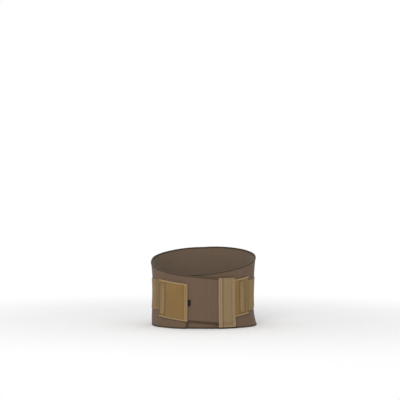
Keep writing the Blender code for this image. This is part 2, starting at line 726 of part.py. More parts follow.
def side_strap(side, body, rear, front, low, slope, set_in, lay, strap_low):
    """A strap's front part and the pad at its end, with the pad's trim and batten."""
    way = 1.0 if front > rear else -1.0
    pad_low = slanted(rear, low, -way * slope)
    pad_high = raised(pad_low, PAD_HEIGHT)
    start, end = sorted((rear, front))
    outline = between(pad_low, pad_high, start, end)
    panel(f"{side}_pad", outline, PAD_IN, PAD_OUT, body, pad_tan, lay)
    top = edge_points(pad_high, start, end)
    bottom = edge_points(pad_low, end, start)
    binding(f"{side}_pad_top_binding", top, PAD_IN, PAD_OUT, body, tape_tan, lay)
    binding(f"{side}_pad_bottom_binding", bottom, PAD_IN, PAD_OUT, body, tape_tan, lay)

    hinge = -way * (STRAP_HINGE - HINGE_GAP / 2.0)
    strap_end = rear + way * STRAP_UNDER_PAD
    strap_high = raised(strap_low, STRAP_HEIGHT)
    mouth = rear - way * PLY_GAP
    hook_low = raised(pad_low, PAD_HOOK_MARGIN)
    hook_high = raised(pad_high, -PAD_HOOK_MARGIN)
    tuck_low = inside(strap_low, hook_low, max)
    tuck_high = inside(strap_high, hook_high, min)
    outline = edge_points(strap_low, hinge, mouth) + edge_points(tuck_low, mouth, strap_end)
    outline += edge_points(tuck_high, strap_end, mouth) + edge_points(strap_high, mouth, hinge)
    panel(f"{side}_strap_front", outline, STRAP_IN, STRAP_OUT, body, webbing_tan, lay)

    hooks = sorted((strap_end + way * PLY_GAP, front - way * PAD_HOOK_MARGIN))
    outline = between(hook_low, hook_high, *hooks)
    panel(f"{side}_pad_hook_patch", outline, STRAP_IN, STRAP_IN + HOOK_PATCH, body, hook_dark, lay)

    clear = BINDING_LEG + PLY_GAP
    tape_low = raised(pad_low, clear)
    tape_high = raised(pad_high, -clear)
    outline = between(tape_low, tape_high, *sorted((front, front - way * PAD_FRONT_TAPE)))
    inner = PAD_OUT + PLY_GAP
    panel(f"{side}_pad_front_tape", outline, inner, inner + BINDING_TAPE, body, tape_tan, lay)

    centre = rear + way * set_in
    channel_low = max(pad_low(centre - CHANNEL_WIDTH / 2.0), pad_low(centre + CHANNEL_WIDTH / 2.0))
    channel_low += CHANNEL_LOW_MARGIN
    channel_high = channel_low + CHANNEL_HEIGHT
    room = PLY_GAP + BATTEN_THICKNESS + PLY_GAP
    name = f"{side}_pad_channel"
    channel(name, centre, channel_low, channel_high, CHANNEL_WIDTH, inner, room, body, webbing_tan, lay)
    low_end = channel_low + STAY_END_MARGIN
    high_end = channel_high - STAY_END_MARGIN
    batten = strip(centre, low_end, high_end, BATTEN_WIDTH, BATTEN_WIDTH * ROUND_END)
    inner += PLY_GAP
    panel(f"{side}_pad_batten", batten, inner, inner + BATTEN_THICKNESS, body, batten_plastic, lay)


def blank_tag(body):
    """A small folded tag with nothing on it, sewn to the left pad's front edge."""
    start = PAD_FRONT_LEFT + PLY_GAP
    low = PAD_LOW_LEFT - PAD_SLOPE_LEFT * PAD_LENGTH + TAG_LOW
    outline = strip(start + TAG_LENGTH / 2.0, low, low + TAG_HEIGHT, TAG_LENGTH, TAG_CORNER)
    panel("blank_tag", outline, PAD_IN, PAD_IN + TAG_THICKNESS, body, tag_black, wing_lay)


def clear_scene():
    for thing in list(bpy.data.objects):
        bpy.data.objects.remove(thing, do_unlink=True)


def build():
    clear_scene()
    back = bpy.data.objects.new("back_origin", None)
    bpy.context.collection.objects.link(back)
    hem_out = SHELL_OUT + EDGE_TURN + FLARE_AT_HEM + HINGE_PROUD
    left = pivot("left_wing_pivot", -SEAM, hem_out)
    right = pivot("right_wing_pivot", SEAM, hem_out)
    strap_out = STRAP_OUT + flare(STRAP_LOW_LEFT) + HINGE_PROUD
    left_strap = pivot("left_strap_pivot", -STRAP_HINGE, strap_out)
    right_strap = pivot("right_strap_pivot", STRAP_HINGE, strap_out)
    tongue_out = LAP_RISE + SHELL_OUT + EDGE_TURN + flare(TONGUE_LOW) + HINGE_PROUD
    closure = pivot("closure_pivot", TONGUE_HINGE, tongue_out)

    back_panel(back)
    back_stays(back)
    rear_straps(back)
    seam_tapes(back)
    left_wing(left)
    right_wing(right)
    strap_keepers(left, right)
    tongue(closure)
    tab(closure)
    side_strap(
        "left", left_strap, PAD_REAR_LEFT, PAD_FRONT_LEFT, PAD_LOW_LEFT, PAD_SLOPE_LEFT,
        CHANNEL_SET_IN_LEFT, wing_lay, strap_low_left,
    )
    side_strap(
        "right", right_strap, PAD_REAR_RIGHT, PAD_FRONT_RIGHT, PAD_LOW_RIGHT, PAD_SLOPE_RIGHT,
        CHANNEL_SET_IN_RIGHT, flat_lay, strap_low_right,
    )
    blank_tag(left_strap)
    under(back, left)
    under(back, right)
    under(left, closure)
    under(left, left_strap)
    under(right, right_strap)


build()
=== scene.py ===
import math
from functools import partial

import bpy
import numpy as np
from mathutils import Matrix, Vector


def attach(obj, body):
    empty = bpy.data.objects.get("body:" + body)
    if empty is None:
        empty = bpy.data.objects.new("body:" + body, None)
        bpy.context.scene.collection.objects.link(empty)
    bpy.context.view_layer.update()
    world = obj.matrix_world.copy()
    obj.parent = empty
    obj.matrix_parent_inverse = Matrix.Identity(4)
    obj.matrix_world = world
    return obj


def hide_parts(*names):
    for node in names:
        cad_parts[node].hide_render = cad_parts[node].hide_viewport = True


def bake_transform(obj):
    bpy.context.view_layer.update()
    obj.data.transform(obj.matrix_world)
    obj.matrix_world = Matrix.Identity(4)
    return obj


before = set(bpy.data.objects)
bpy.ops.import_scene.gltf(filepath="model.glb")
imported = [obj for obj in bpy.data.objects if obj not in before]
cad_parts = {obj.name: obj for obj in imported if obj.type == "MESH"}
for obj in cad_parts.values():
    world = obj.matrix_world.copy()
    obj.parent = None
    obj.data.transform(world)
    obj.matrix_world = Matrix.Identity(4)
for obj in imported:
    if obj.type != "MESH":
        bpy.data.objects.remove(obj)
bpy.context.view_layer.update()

# The back's wall: one tall piece of thick ribbed elastic knit, sewn to the two wings at the side
# seams. All cloth is cut flat and then pulled round the waist: "along" runs round it from the
# middle of the front towards the right, "up" is the height, and "out" is measured from the skin.
WAIST_HALF_WIDTH = 0.1326
WAIST_HALF_DEPTH = 0.101
WAIST_SQUARENESS = 2.3
WAISTLINE = 0.090
FLARE = 0.005  # how far the wall stands out at the floor and at the top of the back
SIDE_FLARE = 0.0040  # how much more it stands out at the top of both sides
HIP_LEAN, HIP_HEIGHT = 0.0040, 0.045  # the sides' lean to the right at the hem, and its height
SET_BACK = 0.004
HEIGHT_BACK = 0.205
HEIGHT_FRONT_LEFT = 0.138
HEIGHT_FRONT_RIGHT = 0.143
RIGHT_SIDE_RISE = 0.0095
EDGE_TURN = 0.0007  # how far an edge's tape stands beyond the cloth
LINING_OUT = 0.0010
SHELL_IN = 0.0013
SHELL_OUT = 0.0037
RIB = 0.0024  # spacing of the knit's ribs
WAVE, RIPPLE = 0.00045, 0.00030  # how far the worn cloth waves in and out
RIB_SPAN = 0.150  # the ribs are counted over this height, and follow both edges
CUT = 0.0032  # spacing of a ply's own points
STIFFENED = (0.300, 0.348, 0.408, 0.456, 0.6473, 0.1046)  # where stays and battens keep it flat


def run_of(x, y):
    """The length travelled at each point of a flat curve."""
    return np.concatenate([[0.0], np.cumsum(np.hypot(np.diff(x), np.diff(y)))])


turn = np.linspace(-math.pi, math.pi, 20001)
waist_x = WAIST_HALF_WIDTH * np.sign(np.sin(turn)) * np.abs(np.sin(turn)) ** (2 / WAIST_SQUARENESS)
waist_y = -WAIST_HALF_DEPTH * np.sign(np.cos(turn)) * np.abs(np.cos(turn)) ** (2 / WAIST_SQUARENESS)
run = run_of(waist_x, waist_y)
GIRTH = run[-1]
SEAM = GIRTH / 4.0
BACK = GIRTH / 2.0
slope_x = np.sign(waist_x) * np.abs(waist_x / WAIST_HALF_WIDTH) ** (WAIST_SQUARENESS - 1) / WAIST_HALF_WIDTH
slope_y = np.sign(waist_y) * np.abs(waist_y / WAIST_HALF_DEPTH) ** (WAIST_SQUARENESS - 1) / WAIST_HALF_DEPTH
steepness = np.hypot(slope_x, slope_y)


def pull_round(along, out, up):
    """Places of points of the flat pattern once it is pulled round the waist, slightly waved as worn."""
    place = (along + BACK) % GIRTH
    around = 2.0 * math.pi * along / GIRTH
    waves = WAVE * np.sin(7.0 * around + 22.0 * up) + RIPPLE * np.sin(12.0 * around - 41.0 * up + 1.0)
    for stiff in STIFFENED:
        beside = np.abs((along - stiff + BACK) % GIRTH - BACK)
        waves = waves * np.clip(beside / 0.03, 0.0, 1.0) ** 2
    below = np.clip((WAISTLINE - up) / WAISTLINE, 0.0, None) ** 2
    above = np.clip((up - WAISTLINE) / (HEIGHT_BACK - WAISTLINE), 0.0, None) ** 2
    away = out + FLARE * (below + above) + waves
    way_x, way_y = np.interp(place, run, slope_x / steepness), np.interp(place, run, slope_y / steepness)
    away = away + SIDE_FLARE * above * way_x**2
    lean = HIP_LEAN * way_x**2 * np.clip(1.0 - up / HIP_HEIGHT, 0.0, None) ** 2
    x = np.interp(place, run, waist_x) + way_x * away + lean
    y = np.interp(place, run, waist_y) + way_y * away + SET_BACK
    return np.stack([x, y, up + 0.0 * along], axis=-1)


def points_of(piece):
    found = np.empty(len(piece.data.vertices) * 3, np.float32)
    piece.data.vertices.foreach_get("co", found)
    return found.reshape(-1, 3).astype(float)


def move_points(piece, places):
    piece.data.vertices.foreach_set("co", np.asarray(places, np.float32).ravel())
    piece.data.update()


def flat_grid(name, columns, rows):
    """A grid of cloth points with its two maps; gives it and each point's share of both ways."""
    bpy.ops.object.select_all(action="DESELECT")
    bpy.ops.mesh.primitive_grid_add(x_subdivisions=columns, y_subdivisions=rows, size=1.0)
    piece = bpy.context.object
    piece.name = piece.data.name = name
    piece.data.uv_layers[0].name = "Pattern"
    piece.data.uv_layers.new(name="Edges")
    return piece, points_of(piece) + 0.5


def cut_flat(name, start, end, low, high, spacing=CUT):
    """A flat rectangle of points, laid to the pattern's low and high edges, closer set at both ends."""
    ends = np.array([start, end])
    columns = max(6, round((end - start) / spacing))
    rows = max(4, round(float(np.max(high(ends) - low(ends))) / spacing))
    piece, grid = flat_grid(name, columns, rows)
    share = grid[:, 0] - 0.8 * np.sin(2.0 * math.pi * grid[:, 0]) / (2.0 * math.pi)
    along = start + share * (end - start)
    up = low(along) + grid[:, 1] * (high(along) - low(along))
    move_points(piece, np.stack([along, 0.0 * along, up], axis=1))
    return piece


def write_map(piece, name, across, upward):
    """Writes a map of the piece, in metres, from one value for each point."""
    corner = np.empty(len(piece.data.loops), np.int32)
    piece.data.loops.foreach_get("vertex_index", corner)
    flat = np.stack([across[corner], upward[corner]], axis=1).astype(np.float32)
    piece.data.uv_layers[name].uv.foreach_set("vector", flat.ravel())


def thicken(piece, thickness, rounding=0.0):
    """Gives a ply its thickness inwards, and rounds its cut edges."""
    bpy.context.view_layer.objects.active = piece
    piece.select_set(True)
    bpy.ops.object.modifier_add(type="SOLIDIFY")
    piece.modifiers[-1].thickness = thickness
    piece.modifiers[-1].offset = -1.0
    bpy.ops.object.modifier_apply(modifier=piece.modifiers[-1].name)
    if rounding:
        bpy.ops.object.modifier_add(type="BEVEL")
        piece.modifiers[-1].width = rounding
        piece.modifiers[-1].segments = 2
        piece.modifiers[-1].angle_limit = math.radians(50)
        bpy.ops.object.modifier_apply(modifier=piece.modifiers[-1].name)
    bpy.ops.object.shade_smooth_by_angle(angle=math.radians(45))


def no_lift(along):
    return 0.0 * along


def level(height):
    return lambda along: height + 0.0 * along


def sew_ply(
    piece, low, high, out, thickness, lift=no_lift, relief=0.0,
    ribbed=False, rounding=0.0, rubbed=True, pressed=None,
):
    """Pulls a flat ply round the waist and gives it its thickness; relief is its own swell, rubbed is
    whether its ends show wear, and the last argument gives where shade is painted into its colour."""
    flat = points_of(piece)
    along, up = flat[:, 0], flat[:, 2]
    from_low, from_high = up - low(along), high(along) - up
    rows = from_low / (from_low + from_high) * RIB_SPAN if ribbed else up
    write_map(piece, "Pattern", along, rows)
    from_end = np.minimum(along - along.min(), along.max() - along) + (0.0 if rubbed else 1.0)
    if pressed:
        marks = piece.data.attributes.new("PaintedShade", "FLOAT", "POINT")
        marks.data.foreach_set("value", pressed(along, up).astype(np.float32))
    write_map(piece, "Edges", from_end, np.minimum(from_low, from_high))
    swell = relief(along, up) if callable(relief) else relief
    move_points(piece, pull_round(along, out + lift(along) + swell, up))
    thicken(piece, thickness, rounding)
    return piece


def lay_ply(name, start, end, low, high, spacing, out, thickness, **manner):
    """Cuts a ply and pulls it round the waist."""
    return sew_ply(cut_flat(name, start, end, low, high, spacing), low, high, out, thickness, **manner)


def paint(piece, finish):
    piece.data.materials.clear()
    piece.data.materials.append(finish)


def follow(piece, where, slot, finish, *stands_for):
    """Finishes a piece, and makes it move with a body; a piece given two bodies is only fixed where it lies.
    """
    paint(piece, finish)
    if isinstance(where, str):
        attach(piece, where)
    else:
        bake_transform(piece)
    if stands_for:
        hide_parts(*stands_for)
    return piece


def dye(red, green, blue):
    """A colour from its 0 to 255 values, made linear."""
    return (*(((v / 255 + 0.055) / 1.055) ** 2.4 for v in (red, green, blue)), 1.0)


def toned(colour, times, plus=0.0):
    return tuple(min(1.0, v * times + plus) for v in colour[:3]) + (1.0,)


def effect(name, inputs, outputs):
    """An empty shader node group with named sockets, and its in and out nodes."""
    group = bpy.data.node_groups.new(name, "ShaderNodeTree")
    for label, kind in inputs:
        group.interface.new_socket(label, in_out="INPUT", socket_type=f"NodeSocket{kind}")
    for label in outputs:
        group.interface.new_socket(label, in_out="OUTPUT", socket_type="NodeSocketFloat")
    return group, group.nodes.new("NodeGroupInput"), group.nodes.new("NodeGroupOutput")


def put_in_scene(name, data):
    piece = bpy.data.objects.new(name, data)
    bpy.context.collection.objects.link(piece)
    return piece


def sums(group, operation, first, second=None, third=None):
    """A Math node fed by sockets or numbers."""
    node = group.nodes.new("ShaderNodeMath")
    node.operation = operation
    for place, value in enumerate((first, second, third)):
        if isinstance(value, (int, float)):
            node.inputs[place].default_value = value
        elif value is not None:
            group.links.new(value, node.inputs[place])
    return node.outputs[0]


def split(group, vector):
    node = group.nodes.new("ShaderNodeSeparateXYZ")
    group.links.new(vector, node.inputs[0])
    return node.outputs[0], node.outputs[1]


def give_out(group, made, height):
    """Gives out a pattern's height, and how far down in its grooves a point is."""
    group.links.new(height, made.inputs["Height"])
    group.links.new(sums(group, "SUBTRACT", 1.0, height), made.inputs["Groove"])


def speckle(group, vector, scale, detail, stretch=None):
    """Noise on a vector, from 0 to 1."""
    if stretch:
        place = group.nodes.new("ShaderNodeMapping")
        place.inputs["Scale"].default_value = stretch
        group.links.new(vector, place.inputs["Vector"])
        vector = place.outputs["Vector"]
    node = group.nodes.new("ShaderNodeTexNoise")
    node.inputs["Scale"].default_value = scale
    node.inputs["Detail"].default_value = detail
    group.links.new(vector, node.inputs["Vector"])
    return node.outputs["Fac"]


# Round ribs that run along the cloth, each made of small loops, with the odd slack one
cloth_sockets = (("Vector", "Vector"), ("Rib", "Float"), ("Loop", "Float"))
rib_knit, given, made = effect("rib_knit", cloth_sockets, ("Height", "Groove"))
work = partial(sums, rib_knit)
along, up = split(rib_knit, given.outputs["Vector"])
uneven = work("MULTIPLY", speckle(rib_knit, given.outputs["Vector"], 60.0, 2.0), 0.5)
ribs = work("ADD", work("DIVIDE", up, given.outputs["Rib"]), uneven)
ridge = work("ABSOLUTE", work("SINE", work("MULTIPLY", ribs, math.pi)))
ridge = work("POWER", ridge, 0.6)
row = work("MULTIPLY", work("FLOOR", ribs), 0.5)
loops = work("ADD", work("DIVIDE", along, given.outputs["Loop"]), row)
loops = work("ABSOLUTE", work("SINE", work("MULTIPLY", loops, math.pi)))
height = work("MULTIPLY", ridge, work("MULTIPLY_ADD", loops, 0.3, 0.7))
give_out(rib_knit, made, height)

# Threads that pass over and under each other
weave, given, made = effect("weave", cloth_sockets, ("Height", "Groove"))
work = partial(sums, weave)
along, up = split(weave, given.outputs["Vector"])
warp = work("SINE", work("MULTIPLY", work("DIVIDE", up, given.outputs["Rib"]), 2.0 * math.pi))
weft = work("SINE", work("MULTIPLY", work("DIVIDE", along, given.outputs["Loop"]), 2.0 * math.pi))
height = work("MULTIPLY_ADD", work("MULTIPLY", warp, weft), 0.5, 0.5)
give_out(weave, made, height)

# Short brushed pile: fine soft fuzz with slightly combed streaks
pile, given, made = effect("pile", cloth_sockets, ("Height", "Groove"))
work = partial(sums, pile)
finest = work("DIVIDE", 1.0, given.outputs["Rib"])
fibre = pile.nodes.new("ShaderNodeTexNoise")
fibre.inputs["Detail"].default_value = 3.0
pile.links.new(given.outputs["Vector"], fibre.inputs["Vector"])
pile.links.new(finest, fibre.inputs["Scale"])
combed = speckle(pile, given.outputs["Vector"], 90.0, 2.0, (1.0, 3.0, 1.0))
height = work("MULTIPLY_ADD", fibre.outputs["Fac"], 0.7, work("MULTIPLY", combed, 0.3))
give_out(pile, made, height)

# Wear: uneven dye over the whole cloth, and a paler rubbed line along its edges
RUBBED_WIDTH = 0.004
wear, given, made = effect("wear", (("Place", "Vector"), ("Edges", "Vector")), ("Tone", "Fuzz", "Rub"))
work = partial(sums, wear)
cloudy = speckle(wear, given.outputs["Place"], 22.0, 3.0)
wear.links.new(work("SMOOTH_MIN", cloudy, 1.0, 0.1), made.inputs["Tone"])
fuzz = speckle(wear, given.outputs["Place"], 1400.0, 2.0)
wear.links.new(fuzz, made.inputs["Fuzz"])
from_end, from_edge = split(wear, given.outputs["Edges"])
nearest = work("MINIMUM", from_end, from_edge)
near_edge = work("SUBTRACT", 1.0, work("MINIMUM", work("DIVIDE", nearest, RUBBED_WIDTH), 1.0))
rubbed = speckle(wear, given.outputs["Place"], 160.0, 3.0)
wear.links.new(work("MULTIPLY", near_edge, rubbed), made.inputs["Rub"])


def mixed(tree, share, first, second):
    """A colour between two, each a socket or a colour."""
    node = tree.nodes.new("ShaderNodeMix")
    node.data_type = "RGBA"
    tree.links.new(share, node.inputs["Factor"])
    for place, value in ((6, first), (7, second)):
        if isinstance(value, tuple):
            node.inputs[place].default_value = value
        else:
            tree.links.new(value, node.inputs[place])
    return node.outputs[2]


def new_finish(name, settings):
    """A material with its shader's plain settings; gives it, its tree and its shader."""
    finish = bpy.data.materials.new(name)
    finish.use_nodes = True
    shader = finish.node_tree.nodes["Principled BSDF"]
    for label, value in settings.items():
        shader.inputs[label].default_value = value
    return finish, finish.node_tree, shader


def dyed_cloth(name, colour, pattern, rib, loop, depth, groove_shade=0.62, roughness=0.85, sheen=0.06, tone=0.5):
    """A cloth's finish: its dye, clouded and rubbed, with painted shade in the grooves of its knit or weave
    and where a mask gives it.
    """
    plain = {"Sheen Weight": sheen, "Sheen Roughness": 0.5, "Specular IOR Level": 0.18}
    finish, tree, shader = new_finish(name, plain)
    pattern_map = tree.nodes.new("ShaderNodeUVMap")
    pattern_map.uv_map = "Pattern"
    edges_map = tree.nodes.new("ShaderNodeUVMap")
    edges_map.uv_map = "Edges"
    place = tree.nodes.new("ShaderNodeTexCoord")
    texture = tree.nodes.new("ShaderNodeGroup")
    texture.node_tree = pattern
    texture.inputs["Rib"].default_value = rib
    texture.inputs["Loop"].default_value = loop
    tree.links.new(pattern_map.outputs["UV"], texture.inputs["Vector"])
    worn = tree.nodes.new("ShaderNodeGroup")
    worn.node_tree = wear
    tree.links.new(place.outputs["Object"], worn.inputs["Place"])
    tree.links.new(edges_map.outputs["UV"], worn.inputs["Edges"])
    # Painted shade: a mask on the points darkens the colour where shade falls, in creases, grooves and
    # beside other parts.
    pressed = tree.nodes.new("ShaderNodeAttribute")
    pressed.attribute_name = "PaintedShade"
    dyed = mixed(tree, worn.outputs["Tone"], colour, toned(colour, 1.0 - 0.35 * tone))
    # Painted shade: the grooves of the knit or weave are darkened, as shade would darken them.
    groove = sums(tree, "MULTIPLY", texture.outputs["Groove"], 0.8)
    dyed = mixed(tree, groove, dyed, toned(colour, groove_shade))
    rub = sums(tree, "MULTIPLY", worn.outputs["Rub"], 0.5)
    dyed = mixed(tree, rub, dyed, toned(colour, 1.35, 0.01))
    dyed = mixed(tree, pressed.outputs["Fac"], dyed, toned(colour, 0.40))
    tree.links.new(dyed, shader.inputs["Base Color"])
    rough = sums(tree, "MULTIPLY_ADD", worn.outputs["Fuzz"], 0.15, roughness - 0.08)
    tree.links.new(rough, shader.inputs["Roughness"])
    relief = sums(tree, "MULTIPLY_ADD", worn.outputs["Fuzz"], 0.15, texture.outputs["Height"])
    bump = tree.nodes.new("ShaderNodeBump")
    bump.inputs["Strength"].default_value = 0.6
    bump.inputs["Distance"].default_value = depth
    tree.links.new(relief, bump.inputs["Height"])
    tree.links.new(bump.outputs["Normal"], shader.inputs["Normal"])
    return finish


def to_back(along):
    """How far a place is from the front to the back, from 0 to 1."""
    return (1.0 - np.cos(math.pi * along / BACK)) / 2.0


def top_edge_left(along):
    return HEIGHT_FRONT_LEFT + (HEIGHT_BACK - HEIGHT_FRONT_LEFT) * to_back(along) - EDGE_TURN


def top_edge_right(along):
    rise = RIGHT_SIDE_RISE * np.sin(math.pi * along / BACK)
    return HEIGHT_FRONT_RIGHT + (HEIGHT_BACK - HEIGHT_FRONT_RIGHT) * to_back(along) + rise - EDGE_TURN


def top_edge_back(along):
    return np.where(along < BACK, top_edge_right(along), top_edge_left(along - GIRTH))


hem = level(EDGE_TURN)
brown_knit = dyed_cloth("brown_knit", dye(113, 92, 74), rib_knit, RIB, 0.0016, 0.0008)
back_wall = lay_ply(
    "back_wall", SEAM, GIRTH - SEAM, hem, top_edge_back, CUT,
    SHELL_OUT, SHELL_OUT - SHELL_IN, ribbed=True, rubbed=False,
)
follow(back_wall, "back_panel", "knit_brown", brown_knit, "back_shell")

# The back's lining: a thin brushed mesh against the skin, the same cut as the wall. It is laid on
# the wall's inner side and held by the same edge tapes.
lining_mesh = dyed_cloth("lining_mesh", dye(120, 102, 84), weave, 0.0018, 0.0018, 0.0004, sheen=0.15)
back_inside = lay_ply(
    "back_inside", SEAM, GIRTH - SEAM, hem, top_edge_back, CUT, LINING_OUT, LINING_OUT
)
follow(back_inside, "back_panel", "lining_brown", lining_mesh, "back_lining")

# The left wing: the same knit and lining, sewn to the back at the side seam. Towards the front it
# rises over the right wing's end, and at the pad's front edge it steps up to the narrow tongue.
LAP_RISE = 0.0054
RISE_START, RISE_END = -0.105, -0.062
PAD_FRONT_LEFT = -0.039
WING_STEP = PAD_FRONT_LEFT - 0.001
WING_STEP_CORNER = 0.006
TONGUE_HINGE = -0.0307
TONGUE_LENGTH = 0.0693
TONGUE_FOOT, TONGUE_RUN_UP, TONGUE_RUN_DOWN = 0.0187, 0.0050, 0.0072
SIDE_BEND = 0.030  # length of wall back from the side seam to the side's second point; nothing in this script bends the wall
left_seam = pull_round(np.array([-SEAM]), np.array([SHELL_OUT]), np.array([WAISTLINE]))[0]
bend_end = left_seam - (0.0, SIDE_BEND, 0.0)
left_side = ("back_panel", "left_wing", tuple(left_seam), tuple(bend_end))


def smooth(share):
    share = np.clip(share, 0.0, 1.0)
    return share * share * (3.0 - 2.0 * share)


def wing_lift(along):
    return LAP_RISE * smooth((along - RISE_START) / (RISE_END - RISE_START))


def tongue_low(along):
    return TONGUE_FOOT - TONGUE_RUN_UP * (along - TONGUE_HINGE) / TONGUE_LENGTH


def tongue_top(along):
    return top_edge_left(TONGUE_HINGE) - TONGUE_RUN_DOWN * (along - TONGUE_HINGE) / TONGUE_LENGTH


def trim(piece, corner, way, within):
    """Cuts off what lies past a line through corner, of the faces in the box within."""
    for face in piece.data.polygons:
        x, _, z = face.center
        face.select = within[0] < x < within[1] and within[2] < z < within[3]
    for loose in (piece.data.vertices, piece.data.edges):
        loose.foreach_set("select", np.zeros(len(loose), bool))
    bpy.context.view_layer.objects.active = piece
    bpy.ops.object.mode_set(mode="EDIT")
    bpy.ops.mesh.select_mode(type="FACE")
    bpy.ops.mesh.bisect(plane_co=corner, plane_no=way, clear_outer=True)
    bpy.ops.object.mode_set(mode="OBJECT")


def cut_left_wing(name):
    """The wing's cut, with the foot that steps up to the tongue."""
    piece = cut_flat(name, -SEAM, TONGUE_HINGE, hem, top_edge_left)
    bpy.ops.object.mode_set(mode="EDIT")
    bpy.ops.mesh.select_all(action="SELECT")
    bpy.ops.mesh.bisect(plane_co=(WING_STEP, 0.0, 0.0), plane_no=(1.0, 0.0, 0.0))
    bpy.ops.object.mode_set(mode="OBJECT")
    step = float(tongue_low(WING_STEP))
    trim(piece, (WING_STEP, 0.0, step), (0.0, 0.0, -1.0), (WING_STEP, 0.0, -1.0, 0.03))
    centre = np.array([WING_STEP - WING_STEP_CORNER, EDGE_TURN + WING_STEP_CORNER])
    for degrees in (-20.0, -45.0, -70.0):
        way = np.array([math.cos(math.radians(degrees)), math.sin(math.radians(degrees))])
        edge = centre + way * WING_STEP_CORNER
        foot = (WING_STEP - 0.02, WING_STEP, -1.0, step)
        trim(piece, (edge[0], 0.0, edge[1]), (way[0], 0.0, way[1]), foot)
    return piece


left_wall = cut_left_wing("left_wall")
sew_ply(left_wall, hem, top_edge_left, SHELL_OUT, SHELL_OUT - SHELL_IN, wing_lift, ribbed=True, rubbed=False)
follow(left_wall, left_side, "knit_brown", brown_knit, "left_wing_shell")
left_inside = cut_left_wing("left_inside")
sew_ply(left_inside, hem, top_edge_left, LINING_OUT, LINING_OUT, wing_lift)
follow(left_inside, left_side, "lining_brown", lining_mesh, "left_wing_lining")

# The right wing: the same knit and lining, sewn to the back at the other side seam. Its round
# end lies under the left wing.
RIGHT_WING_END = -0.052
RIGHT_WING_CORNER = 0.009
right_side = ("back_panel", "right_wing", (-left_seam[0], *left_seam[1:]), (-bend_end[0], *bend_end[1:]))


def rounded(edge, place, radius, way):
    """An edge turned in by a round corner at a place; way is 1 for a low edge and -1 for a high one."""
    def turned(along):
        inward = np.clip(radius - np.abs(along - place), 0.0, radius)
        return edge(along) + way * (radius - np.sqrt(radius**2 - inward**2))
    return turned


right_low = rounded(hem, RIGHT_WING_END, RIGHT_WING_CORNER, 1)
right_top = rounded(top_edge_right, RIGHT_WING_END, RIGHT_WING_CORNER, -1)
right_wall = cut_flat("right_wall", RIGHT_WING_END, SEAM, right_low, right_top)
sew_ply(right_wall, hem, top_edge_right, SHELL_OUT, SHELL_OUT - SHELL_IN, ribbed=True, rubbed=False)
follow(right_wall, right_side, "knit_brown", brown_knit, "right_wing_shell")
right_inside = cut_flat("right_inside", RIGHT_WING_END, SEAM, right_low, right_top)
sew_ply(right_inside, hem, top_edge_right, LINING_OUT, LINING_OUT)
follow(right_inside, right_side, "lining_brown", lining_mesh, "right_wing_lining")

# The wall's edge tapes: dark twill tape folded over every raw edge and sewn through, so that the
# wall and its lining are held together. One stitch row shows inside and one outside.
BINDING_LEG = 0.0032
FOLD_REACH = 0.0017  # from the fold back to where the tape's legs lie flat
TAPE_PLY = 0.0004
ROW_IN = 0.66  # where the stitch row is, as a share of the tape's leg
STITCH = 0.0026
STITCH_PITCH = 0.0033


def frames_of(path):
    """Unit directions along a flat path, and the normals to their left."""
    ahead = np.gradient(path, axis=0)
    ahead /= np.linalg.norm(ahead, axis=1)[:, None]
    return ahead, np.stack([-ahead[:, 1], ahead[:, 0]], axis=1)


def edge_path(edge, start, end, spacing=CUT):
    """Points of an edge from start to end."""
    along = np.linspace(start, end, max(4, round(abs(end - start) / spacing)) + 1)
    return np.stack([along, edge(along)], axis=1)


def fold_tape(name, path, inner, outer, lift=no_lift, leg=BINDING_LEG, sides=10):
    """Tape folded over an edge, which lies to the left of the path's way."""
    piece, grid = flat_grid(name, len(path) - 1, sides + 2)
    step = np.rint(grid[:, 0] * (len(path) - 1)).astype(int)
    side = np.rint(grid[:, 1] * (sides + 2)).astype(int)
    half = (outer - inner) / 2.0 + EDGE_TURN
    swing = np.linspace(math.pi / 2, -math.pi / 2, sides + 1)
    across = EDGE_TURN - FOLD_REACH + FOLD_REACH * np.abs(np.cos(swing)) ** 0.75
    out = (inner + outer) / 2.0 + half * np.sign(np.sin(swing)) * np.abs(np.sin(swing)) ** 0.75
    across = np.concatenate([[-leg], across, [-leg]])
    tuck = EDGE_TURN - TAPE_PLY
    out = np.concatenate([[outer + EDGE_TURN - tuck], out, [inner - EDGE_TURN + tuck]])
    _, left = frames_of(path)
    place = path[step] + left[step] * across[side, None]
    write_map(piece, "Pattern", run_of(*path.T)[step], run_of(across, out)[side])
    write_map(piece, "Edges", np.abs(across[side] - EDGE_TURN) + 0.001, np.full(len(side), 0.004))
    move_points(piece, pull_round(place[:, 0], out[side] + lift(place[:, 0]), place[:, 1]))
    thicken(piece, TAPE_PLY)
    return piece


def stitch_form():
    """One stitch: a short thread lying on the cloth, its ends pulled in."""
    bpy.ops.object.select_all(action="DESELECT")
    lying = (0.0, math.pi / 2, 0.0)
    bpy.ops.mesh.primitive_uv_sphere_add(segments=6, ring_count=4, radius=1.0, rotation=lying)
    bpy.ops.object.transform_apply(location=False, rotation=True, scale=False)
    form = bpy.context.object
    places = points_of(form)
    faces = [tuple(face.vertices) for face in form.data.polygons]
    bpy.data.objects.remove(form)
    return places, faces


stitch_points, stitch_faces = stitch_form()


